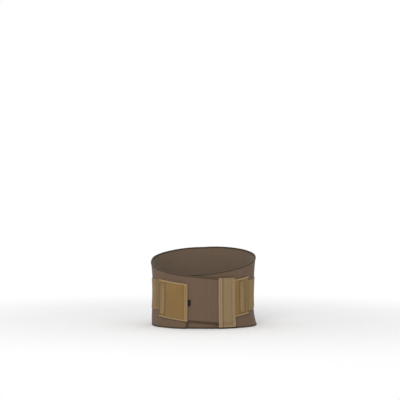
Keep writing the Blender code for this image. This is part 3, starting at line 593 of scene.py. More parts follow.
def sew(name, paths, out, where, finish, slot, lift=no_lift, width=0.00032, pitch=STITCH_PITCH):
    """Rows of stitches along flat paths, lying at a distance out."""
    places, faces = [], []
    for path in paths:
        travel = run_of(*path.T)
        count = max(1, int((travel[-1] - 0.001) / pitch))
        middle = (np.arange(count) + 0.5) * travel[-1] / count
        length = min(STITCH, 0.8 * travel[-1] / count)
        for shift in middle:
            ends = np.array([shift - length / 2, shift + length / 2])
            flat = np.stack([np.interp(ends, travel, way) for way in path.T], axis=1)
            ground = pull_round(flat[:, 0], out + lift(flat[:, 0]), flat[:, 1])
            above = pull_round(flat[:, 0], out + lift(flat[:, 0]) + 0.001, flat[:, 1])
            ahead = (ground[1] - ground[0]) / 2.0
            away = above.mean(axis=0) - ground.mean(axis=0)
            away *= width / np.linalg.norm(away)
            aside = np.cross(ahead, away)
            aside *= width / np.linalg.norm(aside)
            first = len(places) * len(stitch_points)
            places.append(ground.mean(axis=0) + stitch_points @ np.stack([ahead, -aside, away]))
            faces += [tuple(corner + first for corner in face) for face in stitch_faces]
    mesh = bpy.data.meshes.new(name)
    mesh.from_pydata(np.concatenate(places).tolist(), [], faces)
    mesh.shade_smooth()
    return follow(put_in_scene(name, mesh), where, slot, finish)


def streaked(name, light, dark, noise, rough, settings):
    """A finish streaked from one colour to another by noise, which roughens it too."""
    finish, tree, shader = new_finish(name, settings)
    place = tree.nodes.new("ShaderNodeTexCoord").outputs["Object"]
    streaks = speckle(tree, place, *noise)
    tree.links.new(mixed(tree, streaks, light, dark), shader.inputs["Base Color"])
    tree.links.new(sums(tree, "MULTIPLY_ADD", streaks, *rough), shader.inputs["Roughness"])
    return finish


def spun_thread(name, colour):
    """Sewing thread: twisted, so it is banded, and a little glossy."""
    shade = toned(colour, 0.6)
    return streaked(name, colour, shade, (2600.0, 1.0), (0.3, 0.45), {"Specular IOR Level": 0.4})


def inset(path, distance):
    """A path moved to its right, which is inwards from a bound edge."""
    _, left = frames_of(path)
    return path - left * distance


def round_path(centre, radius, first, last):
    """Points round a corner, from one angle to another."""
    arc = np.radians(np.linspace(first, last, 7))[:, None]
    return centre + radius * np.concatenate([np.cos(arc), np.sin(arc)], axis=1)


dark_tape = dyed_cloth("dark_tape", dye(82, 69, 53), weave, 0.0009, 0.0012, 0.0002, groove_shade=0.5)
dark_thread = spun_thread("dark_thread", dye(74, 62, 50))
foot_centre = np.array([(WING_STEP - WING_STEP_CORNER, EDGE_TURN + WING_STEP_CORNER)])
foot = round_path(foot_centre, WING_STEP_CORNER, -90.0, 0.0)
heel_height = float(tongue_low(WING_STEP))
heel = WING_STEP + np.array([0.0, 0.001, 0.003])
heel = np.stack([heel, heel_height - np.array([0.003, 0.001, 0.0])], axis=1)
wing_hem = edge_path(hem, -SEAM, WING_STEP - WING_STEP_CORNER)[:-1]
left_hem = np.concatenate([wing_hem, foot, heel, [(TONGUE_HINGE, tongue_low(TONGUE_HINGE))]])
left_head = edge_path(top_edge_left, -SEAM, TONGUE_HINGE)
right_hem = edge_path(hem, RIGHT_WING_END + RIGHT_WING_CORNER, SEAM)
right_head = edge_path(top_edge_right, RIGHT_WING_END + RIGHT_WING_CORNER, SEAM)
rise = (0.0, RIGHT_WING_CORNER)
low_bend = round_path(right_hem[:1] + rise, RIGHT_WING_CORNER, -90.0, -180.0)
high_bend = round_path(right_head[:1] - rise, RIGHT_WING_CORNER, 180.0, 90.0)
right_end = np.concatenate([low_bend, high_bend])
wall_tapes = (
    ("back_top", edge_path(top_edge_back, SEAM, GIRTH - SEAM), "back_panel", no_lift, "back_top_binding"),
    ("back_hem", edge_path(hem, GIRTH - SEAM, SEAM), "back_panel", no_lift, "back_bottom_binding"),
    ("left_top", left_head, left_side, wing_lift, "left_wing_top_binding"),
    ("left_hem", left_hem[::-1], left_side, wing_lift, "left_wing_bottom_binding"),
    ("right_top", right_head, right_side, no_lift, "right_wing_top_binding"),
    ("right_hem", right_hem[::-1], right_side, no_lift, "right_wing_bottom_binding"),
    ("right_end", right_end, right_side, no_lift, "right_wing_end_binding"),
)
for name, path, where, lift, node in wall_tapes:
    follow(fold_tape(f"{name}_tape", path, 0.0, SHELL_OUT, lift), where, "binding_dark", dark_tape, node)
    row = inset(path, BINDING_LEG * ROW_IN)
    sew(f"{name}_stitches", [row], SHELL_OUT + EDGE_TURN, where, dark_thread, "binding_dark", lift)
    sew(f"{name}_inner_stitches", [row], -EDGE_TURN, where, dark_thread, "binding_dark", lift)

# The stay casings: four narrow strips of the knit sewn down the back by their long sides, each
# swelling over the flat spring steel stay that is pushed into it. The stays stay in place inside.
STAY_OFFSETS = (-0.078, -0.030, 0.030, 0.078)
CASING_WIDTH = 0.0160
CASING_SEAM = 0.0010  # from its edge to its stitch row
CASING_MARGIN = 0.0050
CASING_SWELL = 0.0020
TUNNEL_SLOPE = 0.0013  # width over which a sewn-down strip rises to its full swell
casing_knit = dyed_cloth("casing_knit", dye(104, 84, 67), rib_knit, 0.0020, 0.0014, 0.0004)
steel = streaked(
    "stay_steel", dye(196, 198, 202), dye(150, 152, 156),
    (900.0, 2.0, (1.0, 1.0, 0.03)), (0.25, 0.22), {"Metallic": 1.0},
)


def tunnel(centre, half, seam, swell):
    """Swell of a strip that is sewn down at both sides and lies over something flat."""
    def height(along, up):
        beside = np.abs(along - centre)
        return swell * smooth((half - seam - beside) / TUNNEL_SLOPE)
    return height


for number, offset in enumerate(STAY_OFFSETS, start=1):
    centre = BACK + offset
    half = CASING_WIDTH / 2.0
    low = level(EDGE_TURN + CASING_MARGIN)
    top = level(float(min(top_edge_back(np.array([centre - half, centre + half])))) - CASING_MARGIN)
    swell = tunnel(centre, half, CASING_SEAM, CASING_SWELL)
    casing = lay_ply(
        f"stay_casing_{number}", centre - half, centre + half, low, top, 0.0009,
        SHELL_OUT + 0.0007, 0.0006, relief=swell, rounding=0.0001,
    )
    follow(casing, "back_panel", "knit_brown", casing_knit, f"back_casing_{number}")
    ends = np.array([float(low(0.0)) + 0.001, float(top(0.0)) - 0.001])
    sides = np.array([-1, 1])
    rows = [np.stack([np.full(2, centre + way * (half - 0.8 * CASING_SEAM)), ends], axis=1) for way in sides]
    rows += [np.stack([centre + sides * (half - CASING_SEAM), np.full(2, end)], axis=1) for end in ends]
    sew(f"stay_casing_{number}_stitches", rows, SHELL_OUT + 0.0008, "back_panel", dark_thread, "knit_brown")
    paint(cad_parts[f"back_stay_{number}"], steel)

# The side seams: a flat woven tan tape covers each of them on the inside, over the lining, and is
# stitched down along both its sides.
SEAM_TAPE_WIDTH = 0.014
SEAM_TAPE_IN = 0.0030  # from the wall's edges to its ends
ROW_MARGIN = 0.002
tan_tape = dyed_cloth("tan_tape", dye(160, 134, 97), weave, 0.0010, 0.0014, 0.0002, groove_shade=0.7)
tan_thread = spun_thread("tan_thread", dye(176, 152, 116))
inside_low = level(EDGE_TURN + SEAM_TAPE_IN)


def inside_top(along):
    return top_edge_back(along) - SEAM_TAPE_IN


for side, start in (("right", SEAM), ("left", GIRTH - SEAM - SEAM_TAPE_WIDTH)):
    end = start + SEAM_TAPE_WIDTH
    tape = lay_ply(f"{side}_side_tape", start, end, inside_low, inside_top, 0.002, -0.0001, 0.0006)
    follow(tape, "back_panel", "tape_tan", tan_tape, f"{side}_seam_tape")
    upright = edge_path(lambda up: up, 0.006, 0.150) * (0.0, 1.0)
    rows = [upright + (start + shift, 0.0) for shift in (ROW_MARGIN, SEAM_TAPE_WIDTH - ROW_MARGIN)]
    sew(f"{side}_side_tape_stitches", rows, -0.0008, "back_panel", tan_thread, "tape_tan")

# The side straps' rear ends: wide elastic webbing that narrows to the back, where it is sewn down
# under a patch with a boxed cross of stitches. In front of the seam it is sewn flat to the wing.
STRAP_HEIGHT = 0.080
STRAP_IN, STRAP_OUT = 0.0040, 0.0053
REAR_STRAP_LENGTH = 0.085
REAR_STRAP_TAPER = 0.010
ANCHOR_PATCH, ANCHOR_MARGIN = 0.014, 0.003
STRAP_LOW_LEFT, STRAP_LOW_RIGHT, STRAP_SLOPE_RIGHT = 0.0457, 0.0490, 0.10
KEEPER_LENGTH = 0.030
STRAP_HINGE = SEAM - KEEPER_LENGTH
webbing = dyed_cloth(
    "elastic_webbing", dye(142, 118, 80), rib_knit, 0.0030, 0.0012, 0.0004, groove_shade=0.7, sheen=0.03
)
patch_cloth = dyed_cloth("anchor_patch_cloth", dye(146, 121, 82), weave, 0.0012, 0.0012, 0.0002, groove_shade=0.7)


def strap_low_left(along):
    return STRAP_LOW_LEFT + 0.0 * along


def strap_low_right(along):
    return STRAP_LOW_RIGHT + STRAP_SLOPE_RIGHT * (np.minimum(along, SEAM) - SEAM)


def higher(edge, rise):
    return lambda along: edge(along) + rise


def line(start, end, points=12):
    return np.linspace(start, end, points)


def upright_row(place, low, high, margin, points=12):
    """A row up the cloth, from just above its low edge to just below its high one."""
    return line((place, float(low(place)) + margin), (place, float(high(place)) - margin), points)


def boxed_cross(box):
    """Rows round a box of four corners, and across it both ways."""
    return [line(box[k], box[(k + 1) % 4]) for k in range(4)] + [line(box[0], box[2]), line(box[1], box[3])]


for side, low_end, way in (("left", STRAP_LOW_LEFT, -1.0), ("right", STRAP_LOW_RIGHT, 1.0)):
    seam_place = SEAM if way > 0 else GIRTH - SEAM
    far = seam_place + way * REAR_STRAP_LENGTH

    def rear_low(along):
        return low_end + REAR_STRAP_TAPER * np.abs(along - seam_place) / REAR_STRAP_LENGTH

    def rear_top(along):
        return low_end + STRAP_HEIGHT - REAR_STRAP_TAPER * np.abs(along - seam_place) / REAR_STRAP_LENGTH

    start, end = sorted((seam_place, far))
    strap = lay_ply(
        f"{side}_strap_back_end", start, end, rear_low, rear_top, CUT,
        STRAP_OUT, STRAP_OUT - STRAP_IN, rubbed=False,
    )
    follow(strap, "back_panel", "webbing_tan", webbing, f"{side}_strap_rear")
    patch_low, patch_top = higher(rear_low, -ANCHOR_MARGIN), higher(rear_top, ANCHOR_MARGIN)
    start, end = sorted((far - way * ANCHOR_PATCH, far + way * ANCHOR_MARGIN))
    patch = lay_ply(
        f"{side}_anchor_cover", start, end, patch_low, patch_top, 0.002,
        STRAP_OUT + 0.0009, 0.0006, rounding=0.0002,
    )
    follow(patch, "back_panel", "tape_tan", patch_cloth, f"{side}_anchor_patch")
    low, high = float(rear_low(far)), float(rear_top(far))
    first, last = start + 0.0018, end - 0.0018
    rows = boxed_cross([(first, low), (last, low), (last, high), (first, high)])
    sew(f"{side}_anchor_stitches", rows, STRAP_OUT + 0.0010, "back_panel", tan_thread, "tape_tan")

for side, where, strap_low, lift, start in (
    ("left", left_side, strap_low_left, wing_lift, -SEAM),
    ("right", right_side, strap_low_right, no_lift, STRAP_HINGE),
):
    strap_top = higher(strap_low, STRAP_HEIGHT)
    end = start + KEEPER_LENGTH
    keeper = lay_ply(
        f"{side}_strap_sewn_end", start, end, strap_low, strap_top, CUT,
        STRAP_OUT, STRAP_OUT - STRAP_IN, lift=lift, rubbed=False,
    )
    follow(keeper, where, "webbing_tan", webbing, f"{side}_strap_keeper")
    rows = [upright_row(place, strap_low, strap_top, 0.002) for place in (start + 0.0022, end - 0.0022)]
    sew(f"{side}_strap_sewn_end_stitches", rows, STRAP_OUT, where, tan_thread, "webbing_tan", lift)

# The side straps' free parts and their pads. A pad is two plies of brushed cloth over thin foam,
# bound along the top and bottom, with a stiffened strip at its front edge, a sewn channel with a
# plastic batten near its rear edge, and a patch of hooks on its inner side.
PAD_IN, PAD_OUT = 0.0056, 0.0074
PAD_LENGTH, PAD_HEIGHT = 0.081, 0.0963
PAD_BINDING = 0.0030
FRONT_STRIP = 0.0085
HOOK_MARGIN = 0.0045
LEFT_PAD_REAR_LOW, LEFT_PAD_SLOPE = 0.0301, 0.131
CHANNEL_WIDTH, CHANNEL_HEIGHT = 0.0131, 0.0790
CHANNEL_CREASE = 0.0014  # from its side to the dark crease beside it
CHANNEL_CORNER = 0.003
CHANNEL_BASE = 0.0075
STRAP_UNDER_PAD = 0.010
PAD_CROWN = 0.0013
HEM_ROW = 0.0036  # from the lower binding to a stitch row above it
STRAP_BEND = 0.024
left_hinge = pull_round(np.array([-STRAP_HINGE]), np.array([STRAP_OUT]), np.array([WAISTLINE]))[0]
right_hinge = (-left_hinge[0], *left_hinge[1:])
pad_cloth = dyed_cloth(
    "pad_cloth", dye(139, 110, 66), pile, 0.0012, 0.0012, 0.0004, groove_shade=0.75, sheen=0.1, tone=1.0
)
channel_cloth = dyed_cloth("channel_cloth", dye(143, 118, 80), weave, 0.0013, 0.0013, 0.0003, groove_shade=0.75)
hook_tape = dyed_cloth(
    "hook_tape", dye(70, 60, 48), weave, 0.0015, 0.0015, 0.0009, groove_shade=0.4, roughness=0.55, sheen=0.0
)
seam_thread = spun_thread("seam_thread", dye(104, 84, 54))
plastic = streaked(
    "batten_plastic_sheet", dye(226, 224, 214), dye(206, 203, 190),
    (400.0, 2.0, (1.0, 1.0, 0.1)), (0.2, 0.35), {},
)
ENLARGED = 20.0  # cloth is simulated at this many times its size
PRESSURE = 4.0
STEPS = 20
SEWN_WITHIN = 0.0004  # points this near to a seam are held by it


def puff_up(piece, room, most):
    """Blows a flat ply up as cloth between its seams, where room is 0; gives each point's swell."""
    blown = put_in_scene("blown", piece.data.copy())
    move_points(blown, points_of(piece) * ENLARGED)
    sewn = blown.vertex_groups.new(name="sewn")
    sewn.add(np.flatnonzero(room < SEWN_WITHIN).tolist(), 1.0, "REPLACE")
    bpy.context.view_layer.objects.active = blown
    bpy.ops.object.modifier_add(type="CLOTH")
    cloth = blown.modifiers[-1]
    cloth.point_cache.frame_end = 25
    cloth.settings.vertex_group_mass = "sewn"
    cloth.settings.bending_stiffness = 0.2
    cloth.settings.shrink_min = -0.012
    cloth.settings.use_pressure = True
    cloth.settings.uniform_pressure_force = PRESSURE
    cloth.settings.effector_weights.gravity = 0.0
    for step in range(1, STEPS + 1):
        bpy.context.scene.frame_set(step)
    bpy.ops.object.modifier_apply(modifier=cloth.name)
    swell = -points_of(blown)[:, 1] / ENLARGED
    bpy.data.objects.remove(blown)
    bpy.context.scene.frame_set(1)
    return np.clip(swell, 0.0, None) * min(1.0, most / max(swell.max(), 1e-6))


for side, rear, low_rear, slope, set_in, lift, strap_low, hinge, shade in (
    (
        "left", -0.120, LEFT_PAD_REAR_LOW, LEFT_PAD_SLOPE, 0.0110,
        wing_lift, strap_low_left, left_hinge, 0.028,
    ),
    ("right", 0.125, 0.0370, 0.165, 0.0204, no_lift, strap_low_right, right_hinge, 0.008),
):
    way = -1.0 if side == "right" else 1.0
    body = f"{side}_strap"
    front = rear + way * PAD_LENGTH
    centre = rear + way * set_in

    def pad_low(along):
        return low_rear - way * slope * (along - rear)

    pad_top = higher(pad_low, PAD_HEIGHT)
    half = CHANNEL_WIDTH / 2.0
    crease = half + CHANNEL_CREASE
    channel_low = float(max(pad_low(centre - half), pad_low(centre + half))) + CHANNEL_BASE
    channel_top = channel_low + CHANNEL_HEIGHT

    def pad_room(along, up):
        """How far a point lies from the nearest seam: bindings, front strip, channel and ends."""
        beside_channel = np.abs(along - centre) - crease
        beside_strip = (front - along) * way - FRONT_STRIP - 0.0008
        edges = np.minimum(up - pad_low(along) - HEM_ROW, pad_top(along) - up) - PAD_BINDING
        ends = np.minimum((along - rear) * way, (front - along) * way)
        return np.minimum(np.minimum(beside_channel, beside_strip), np.minimum(edges, ends))

    def pad_painted_shade(along, up):
        """Painted shade along the channel's two seams, beside the front strip and hem, and at the rear edge.
        """
        seams = np.exp(-(((np.abs(along - centre) - crease) / 0.0011) ** 2))
        seams = 0.85 * seams * (up > channel_low - 0.006) * (up < channel_top + 0.004)
        beside_strip = 0.35 * np.exp(-((((front - along) * way - FRONT_STRIP - 0.001) / 0.001) ** 2))
        above_binding = 0.45 * np.exp(-(((up - pad_low(along) - PAD_BINDING - 0.0012) / 0.001) ** 2))
        rear_edge_shade = 0.55 * np.exp(-((((along - rear) * way) / 0.0012) ** 2))
        return np.clip(seams + beside_strip + above_binding + rear_edge_shade, 0.0, 1.0)

    start, end = sorted((rear, front))
    pad = cut_flat(f"{side}_pad_face", start, end, pad_low, pad_top, 0.0014)
    flat = points_of(pad)
    room = pad_room(flat[:, 0], flat[:, 2])
    puffed = puff_up(pad, room, PAD_CROWN) - 0.0003 * np.exp(-((room / 0.0008) ** 2))
    sew_ply(
        pad, pad_low, pad_top, PAD_OUT, PAD_OUT - PAD_IN, lift, puffed,
        rounding=0.0004, rubbed=False, pressed=pad_painted_shade,
    )
    follow(pad, body, "pad_tan", pad_cloth, f"{side}_pad")

    paths = ("top", edge_path(pad_top, start, end)), ("bottom", edge_path(pad_low, end, start))
    for edge, path in paths:
        tape = fold_tape(f"{side}_pad_{edge}_tape", path, PAD_IN, PAD_OUT, lift, PAD_BINDING)
        follow(tape, body, "tape_tan", tan_tape, f"{side}_pad_{edge}_binding")
        rows = [inset(path, PAD_BINDING * 0.7)]
        sew(f"{side}_pad_{edge}_stitches", rows, PAD_OUT + EDGE_TURN, body, tan_thread, "tape_tan", lift)

    strip_low, strip_top = higher(pad_low, PAD_BINDING + 0.0003), higher(pad_top, -PAD_BINDING - 0.0003)
    start, end = sorted((front, front - way * FRONT_STRIP))
    strip = lay_ply(
        f"{side}_pad_front_strip", start, end, strip_low, strip_top, 0.0016,
        PAD_OUT + 0.0007, 0.0009, lift=lift, rounding=0.0002,
    )
    follow(strip, body, "tape_tan", channel_cloth, f"{side}_pad_front_tape")
    rows = [upright_row(place, strip_low, strip_top, 0.001) for place in (start + 0.0016, end - 0.0016)]
    sew(f"{side}_pad_front_stitches", rows, PAD_OUT + 0.0007, body, tan_thread, "tape_tan", lift)

    round_low, round_top = level(channel_low), level(channel_top)
    for place in (centre - half, centre + half):
        round_low = rounded(round_low, place, CHANNEL_CORNER, 1)
        round_top = rounded(round_top, place, CHANNEL_CORNER, -1)
    channel = lay_ply(
        f"{side}_batten_channel", centre - half, centre + half, round_low, round_top, 0.0008,
        PAD_OUT + 0.0006, 0.0005, lift=lift, relief=tunnel(centre, half, 0.0009, 0.0016), rounding=0.0001,
    )
    follow(channel, body, "webbing_tan", channel_cloth, f"{side}_pad_channel")
    first, last = centre - half + 0.0007, centre + half - 0.0007
    low, high = channel_low + 0.003, channel_top - 0.003
    rows = [line((place, low), (place, high)) for place in (first, last)]
    rows += [line((first, end), (last, end)) for end in (channel_low + 0.0016, channel_top - 0.0016)]
    sew(f"{side}_batten_channel_stitches", rows, PAD_OUT + 0.0008, body, tan_thread, "webbing_tan", lift)
    box = [(-1, 0.0130), (1, 0.0130), (1, 0.0022), (-1, 0.0022)]
    rows = boxed_cross([(centre + x * (half - 0.0022), channel_top - z) for x, z in box])
    out = PAD_OUT + 0.0006 + 0.0016
    sew(f"{side}_batten_box_stitches", rows, out, body, seam_thread, "webbing_tan", lift, 0.0004)
    first, last = sorted((centre + way * (half + 0.003), front - way * (FRONT_STRIP + 0.001)))
    rows = [edge_path(higher(pad_low, PAD_BINDING + HEM_ROW), first, last)]
    sew(f"{side}_pad_hem_stitches", rows, PAD_OUT, body, tan_thread, "tape_tan", lift, 0.0004)
    low, high = channel_low - 0.004, channel_top + 0.003
    rows = [line((place, low), (place, high), 30) for place in (centre - crease, centre + crease)]
    sew(f"{side}_pad_seam_stitches", rows, PAD_OUT - 0.0002, body, seam_thread, "pad_tan", lift, 0.0004)
    paint(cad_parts[f"{side}_pad_batten"], plastic)

    strap_top = higher(strap_low, STRAP_HEIGHT)

    def tucked_low(along):
        under = np.maximum(strap_low(along), pad_low(along) + HOOK_MARGIN)
        return np.where((along - rear) * way > 0, under, strap_low(along))

    def tucked_top(along):
        under = np.minimum(strap_top(along), pad_top(along) - HOOK_MARGIN)
        return np.where((along - rear) * way > 0, under, strap_top(along))

    def strap_painted_shadow(along, up):
        """Painted shadow: the strap is darker where it goes under the pad."""
        return 0.42 * smooth(1.6 * (1.0 - (rear - along) * way / shade))

    start, end = sorted((-way * STRAP_HINGE, rear + way * STRAP_UNDER_PAD))
    strap = lay_ply(
        f"{side}_strap_free_part", start, end, tucked_low, tucked_top, 0.0024,
        STRAP_OUT, STRAP_OUT - STRAP_IN, lift=lift, rubbed=False, pressed=strap_painted_shadow,
    )
    bend = (f"{side}_wing", body, tuple(hinge), (hinge[0], hinge[1] - STRAP_BEND, hinge[2]))
    follow(strap, bend, "webbing_tan", webbing, f"{side}_strap_front")

    hook_low, hook_top = higher(pad_low, HOOK_MARGIN), higher(pad_top, -HOOK_MARGIN)
    start, end = sorted((rear + way * (STRAP_UNDER_PAD + 0.0003), front - way * HOOK_MARGIN))
    hooks = lay_ply(
        f"{side}_pad_hooks", start, end, hook_low, hook_top, 0.004, STRAP_IN + 0.0010, 0.0010, lift=lift
    )
    follow(hooks, body, "hook_dark", hook_tape, f"{side}_pad_hook_patch")

# The maker's tag: a narrow black ribbon folded double and caught in the left pad's front edge.
# Nothing is printed on it.
TAG_LENGTH, TAG_HEIGHT, TAG_LOW = 0.0074, 0.0155, 0.0403
tag_ribbon = dyed_cloth(
    "tag_ribbon", dye(24, 19, 16), weave, 0.0006, 0.0008, 0.0001, groove_shade=0.5, roughness=0.7, sheen=0.0
)
tag_low = LEFT_PAD_REAR_LOW - LEFT_PAD_SLOPE * PAD_LENGTH + TAG_LOW
tag_edge = PAD_FRONT_LEFT + TAG_LENGTH - EDGE_TURN
tag_path = line((tag_edge, tag_low + TAG_HEIGHT), (tag_edge, tag_low), 9)
tag = fold_tape("tag", tag_path, PAD_IN + 0.0008, PAD_IN + 0.0010, wing_lift, TAG_LENGTH)
follow(tag, "left_strap", "tag_black", tag_ribbon, "blank_tag")

# The tongue: the left wing's narrow end, one ply of the knit, bound above and below. It rises over
# the right pad, and one light seam runs down its middle.
PAD_FRONT_RIGHT = 0.044
TAB_START = TONGUE_HINGE + TONGUE_LENGTH
TAB_OVERLAP = 0.0088
TONGUE_END = TAB_START + TAB_OVERLAP - 0.002
TONGUE_RISE = 0.0081
TONGUE_RISE_RUN = 0.020
TONGUE_RISE_START = min(PAD_FRONT_RIGHT - 0.006, TAB_START - 0.0006) - TONGUE_RISE_RUN
TONGUE_SEAM = 0.0141
closure_bend = ("left_wing", "closure_tongue", (-0.0322, -0.1088, 0.07), (-0.004, -0.1088, 0.07))


def tongue_lift(along):
    return LAP_RISE + (TONGUE_RISE - LAP_RISE) * smooth((along - TONGUE_RISE_START) / TONGUE_RISE_RUN)


def seam_pinch(along, up):
    return -0.0004 * np.exp(-(((along - TONGUE_SEAM) / 0.0012) ** 2))


tongue = lay_ply(
    "tongue", TONGUE_HINGE, TONGUE_END, tongue_low, tongue_top, 0.0022, SHELL_OUT, SHELL_OUT - SHELL_IN,
    lift=tongue_lift, relief=seam_pinch, ribbed=True, rubbed=False,
)
follow(tongue, closure_bend, "knit_brown", brown_knit, "tongue_panel")
for edge, path in (
    ("top", edge_path(tongue_top, TONGUE_HINGE, TAB_START - 0.0003)),
    ("bottom", edge_path(tongue_low, TAB_START - 0.0003, TONGUE_HINGE)),
):
    tape = fold_tape(f"tongue_{edge}_tape", path, SHELL_IN, SHELL_OUT, tongue_lift)
    follow(tape, closure_bend, "binding_dark", dark_tape, f"tongue_{edge}_binding")
    rows, out = [inset(path, BINDING_LEG * ROW_IN)], SHELL_OUT + EDGE_TURN
    sew(f"tongue_{edge}_stitches", rows, out, closure_bend, dark_thread, "binding_dark", tongue_lift)
light_thread = spun_thread("light_thread", dye(140, 120, 98))
rows = [upright_row(TONGUE_SEAM, tongue_low, tongue_top, 0.004, 20)]
sew("tongue_seam_stitches", rows, SHELL_OUT - 0.0002, closure_bend, light_thread, "knit_brown", tongue_lift)

# The tab: a stiff tan tab with round outer corners, sewn over the tongue's end under a light tape,
# where it steps down to the right pad. Its outer edge and its ends are taped, and hooks line it.
TAB_WIDTH = 0.0428
TAB_END = TAB_START + TAB_WIDTH
TAB_LOW, TAB_TOP = 0.0040, 0.1320
TAB_CORNER = 0.0040
TAB_IN = 0.0097
TAB_PLY = 0.0018
TAB_STEP = 0.0024
TAB_STEP_WIDTH = 0.0030
TAB_EDGE_TAPE = 0.0079
TAB_BORDER = 0.0046
TAB_CROWN = 0.0008
TAB_TAPE = 0.0007
TAB_POINTS = 0.0012  # spacing of its plies' points
TAB_TOP_BORDER = 0.1296
TAB_ROW_LOW, TAB_ROW_TOP = 0.0080, 0.1280
low, top = level(TAB_LOW), level(TAB_TOP)
tab_low, tab_top = rounded(low, TAB_END, TAB_CORNER, 1), rounded(top, TAB_END, TAB_CORNER, -1)
tab_cloth = dyed_cloth("tab_cloth", dye(141, 120, 87), pile, 0.0012, 0.0012, 0.0004, groove_shade=0.75, sheen=0.1)
tab_edge_cloth = dyed_cloth("tab_edge_cloth", dye(143, 121, 88), weave, 0.0012, 0.0012, 0.0002, groove_shade=0.75)
tab_seam_cloth = dyed_cloth("tab_seam_cloth", dye(148, 124, 97), weave, 0.0012, 0.0012, 0.0002, groove_shade=0.75)


def tab_lift(along):
    return TAB_STEP * (1.0 - smooth((along - TAB_START - TAB_OVERLAP) / TAB_STEP_WIDTH))


def tab_room(along, up):
    """How far a point of the field lies from the step, the edge tape and the two borders."""
    from_step = along - TAB_START - TAB_OVERLAP - TAB_STEP_WIDTH
    to_tape = TAB_END - TAB_EDGE_TAPE - along
    return np.minimum(np.minimum(from_step, to_tape), np.minimum(up - 0.0086, 0.1290 - up))


def tab_shade_and_band(along, up):
    """Painted shade in the step's groove and beside the edge tape, and a faint darker band above the lower
    border.
    """
    groove = 0.66 * np.exp(-(((along - TAB_START - TAB_OVERLAP - 0.0014) / 0.0017) ** 2))
    beside_tape = 0.25 * np.exp(-(((along - TAB_END + TAB_EDGE_TAPE + 0.0008) / 0.001) ** 2))
    above_border = 0.22 * np.exp(-(((up - 0.0135) / 0.0040) ** 2))
    return np.clip(groove + beside_tape + above_border, 0.0, 1.0)


tab = cut_flat("tab", TAB_START, TAB_END, tab_low, tab_top, TAB_POINTS)
flat = points_of(tab)
puffed = puff_up(tab, tab_room(flat[:, 0], flat[:, 2]), TAB_CROWN)
sew_ply(
    tab, tab_low, tab_top, TAB_IN + TAB_PLY, TAB_PLY, tab_lift, puffed,
    rounding=0.0004, rubbed=False, pressed=tab_shade_and_band,
)
follow(tab, "closure_tongue", "pad_tan", tab_cloth, "closure_tab")
tape_out = TAB_IN + TAB_PLY + 0.0008
seam_tape = lay_ply(
    "tab_seam_cover", TAB_START, TAB_START + TAB_OVERLAP, low, top, 0.0014,
    tape_out, TAB_TAPE, lift=tab_lift, rounding=0.0002,
)
follow(seam_tape, "closure_tongue", "tape_tan", tab_seam_cloth, "tab_seam_tape")
edge_start = TAB_END - TAB_EDGE_TAPE
edge_tape = lay_ply(
    "tab_edge_cover", edge_start, TAB_END, tab_low, tab_top, TAB_POINTS,
    tape_out, TAB_TAPE, rounding=0.0002,
)
follow(edge_tape, "closure_tongue", "tape_tan", tab_edge_cloth, "tab_edge_tape")
border_start = TAB_START + TAB_OVERLAP + TAB_STEP_WIDTH
for edge, low, high in (("low", TAB_LOW, TAB_LOW + TAB_BORDER), ("top", TAB_TOP_BORDER, TAB_TOP)):
    border = lay_ply(
        f"tab_{edge}_border", border_start, edge_start, level(low), level(high), TAB_POINTS,
        tape_out, TAB_TAPE, rounding=0.0002,
    )
    follow(border, "closure_tongue", "tape_tan", tab_edge_cloth)
places = (TAB_START + 0.0014, TAB_START + TAB_OVERLAP - 0.0014, edge_start + 0.0013, TAB_END - 0.0013)
rows = [line((place, TAB_ROW_LOW), (place, TAB_ROW_TOP), 30) for place in places]
rows.append(line((border_start, 0.0078), (edge_start, 0.0078)))
sew("tab_stitches", rows, tape_out, "closure_tongue", tan_thread, "tape_tan", tab_lift)
hook_low, hook_top = level(0.009), level(0.127)
hooks = lay_ply(
    "tab_hooks", TONGUE_END + 0.0053, TAB_END - 0.005, hook_low, hook_top, 0.004, 0.0094, 0.0010
)
follow(hooks, "closure_tongue", "hook_dark", hook_tape, "tab_hook_patch")

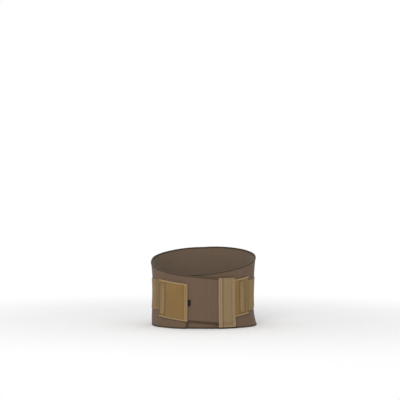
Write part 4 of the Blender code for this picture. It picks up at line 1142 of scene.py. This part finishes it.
# The studio: a wide pale floor that fades away at its edges, under a white sky, with one large
# soft lamp from the front and a level camera.
bpy.context.scene.view_settings.view_transform = "Standard"
bpy.ops.object.select_all(action="DESELECT")
bpy.ops.mesh.primitive_grid_add(x_subdivisions=8, y_subdivisions=8, size=3.0, location=(0.0, 0.0, -0.0005))
floor = bpy.context.object
floor.name = "floor"
plain = {"Base Color": (0.92, 0.92, 0.92, 1.0), "Roughness": 0.9, "Specular IOR Level": 0.1}
floor_paint, tree, shader = new_finish("floor_paint", plain)
distance = tree.nodes.new("ShaderNodeVectorMath")
distance.operation = "LENGTH"
tree.links.new(tree.nodes.new("ShaderNodeTexCoord").outputs["Object"], distance.inputs[0])
fade = tree.nodes.new("ShaderNodeMapRange")
fade.interpolation_type = "SMOOTHSTEP"
for socket, value in (("From Min", 0.35), ("From Max", 1.1), ("To Min", 1.0), ("To Max", 0.0)):
    fade.inputs[socket].default_value = value
tree.links.new(distance.outputs["Value"], fade.inputs["Value"])
tree.links.new(fade.outputs["Result"], shader.inputs["Alpha"])
floor.data.materials.append(floor_paint)
world = bpy.data.worlds.new("white_sky")
bpy.context.scene.world = world
world.use_nodes = True
sky = world.node_tree
sky.nodes["Background"].inputs["Color"].default_value = (1.0, 1.0, 1.0, 1.0)
seen = sky.nodes.new("ShaderNodeLightPath").outputs["Is Camera Ray"]
sky.links.new(sums(sky, "MULTIPLY_ADD", seen, 0.20, 0.80), sky.nodes["Background"].inputs["Strength"])
lamp_data = bpy.data.lights.new("soft_lamp", "AREA")
lamp_data.shape = "DISK"
lamp_data.size = 1.6
lamp_data.energy = 32.0
lamp = put_in_scene("soft_lamp", lamp_data)
lamp.location = (-0.55, -2.5, 1.6)
lamp.rotation_euler = (Vector((0.0, 0.0, 0.08)) - lamp.location).to_track_quat("-Z", "Y").to_euler()
camera_data = bpy.data.cameras.new("camera")
camera_data.sensor_width = 36.0
camera_data.lens = 102.96
camera_data.clip_end = 100.0
camera = put_in_scene("camera", camera_data)
camera.location = (-0.0081, -3.096, 0.3366)
camera.rotation_euler = (math.pi / 2, 0.0, 0.0)
bpy.context.scene.camera = camera
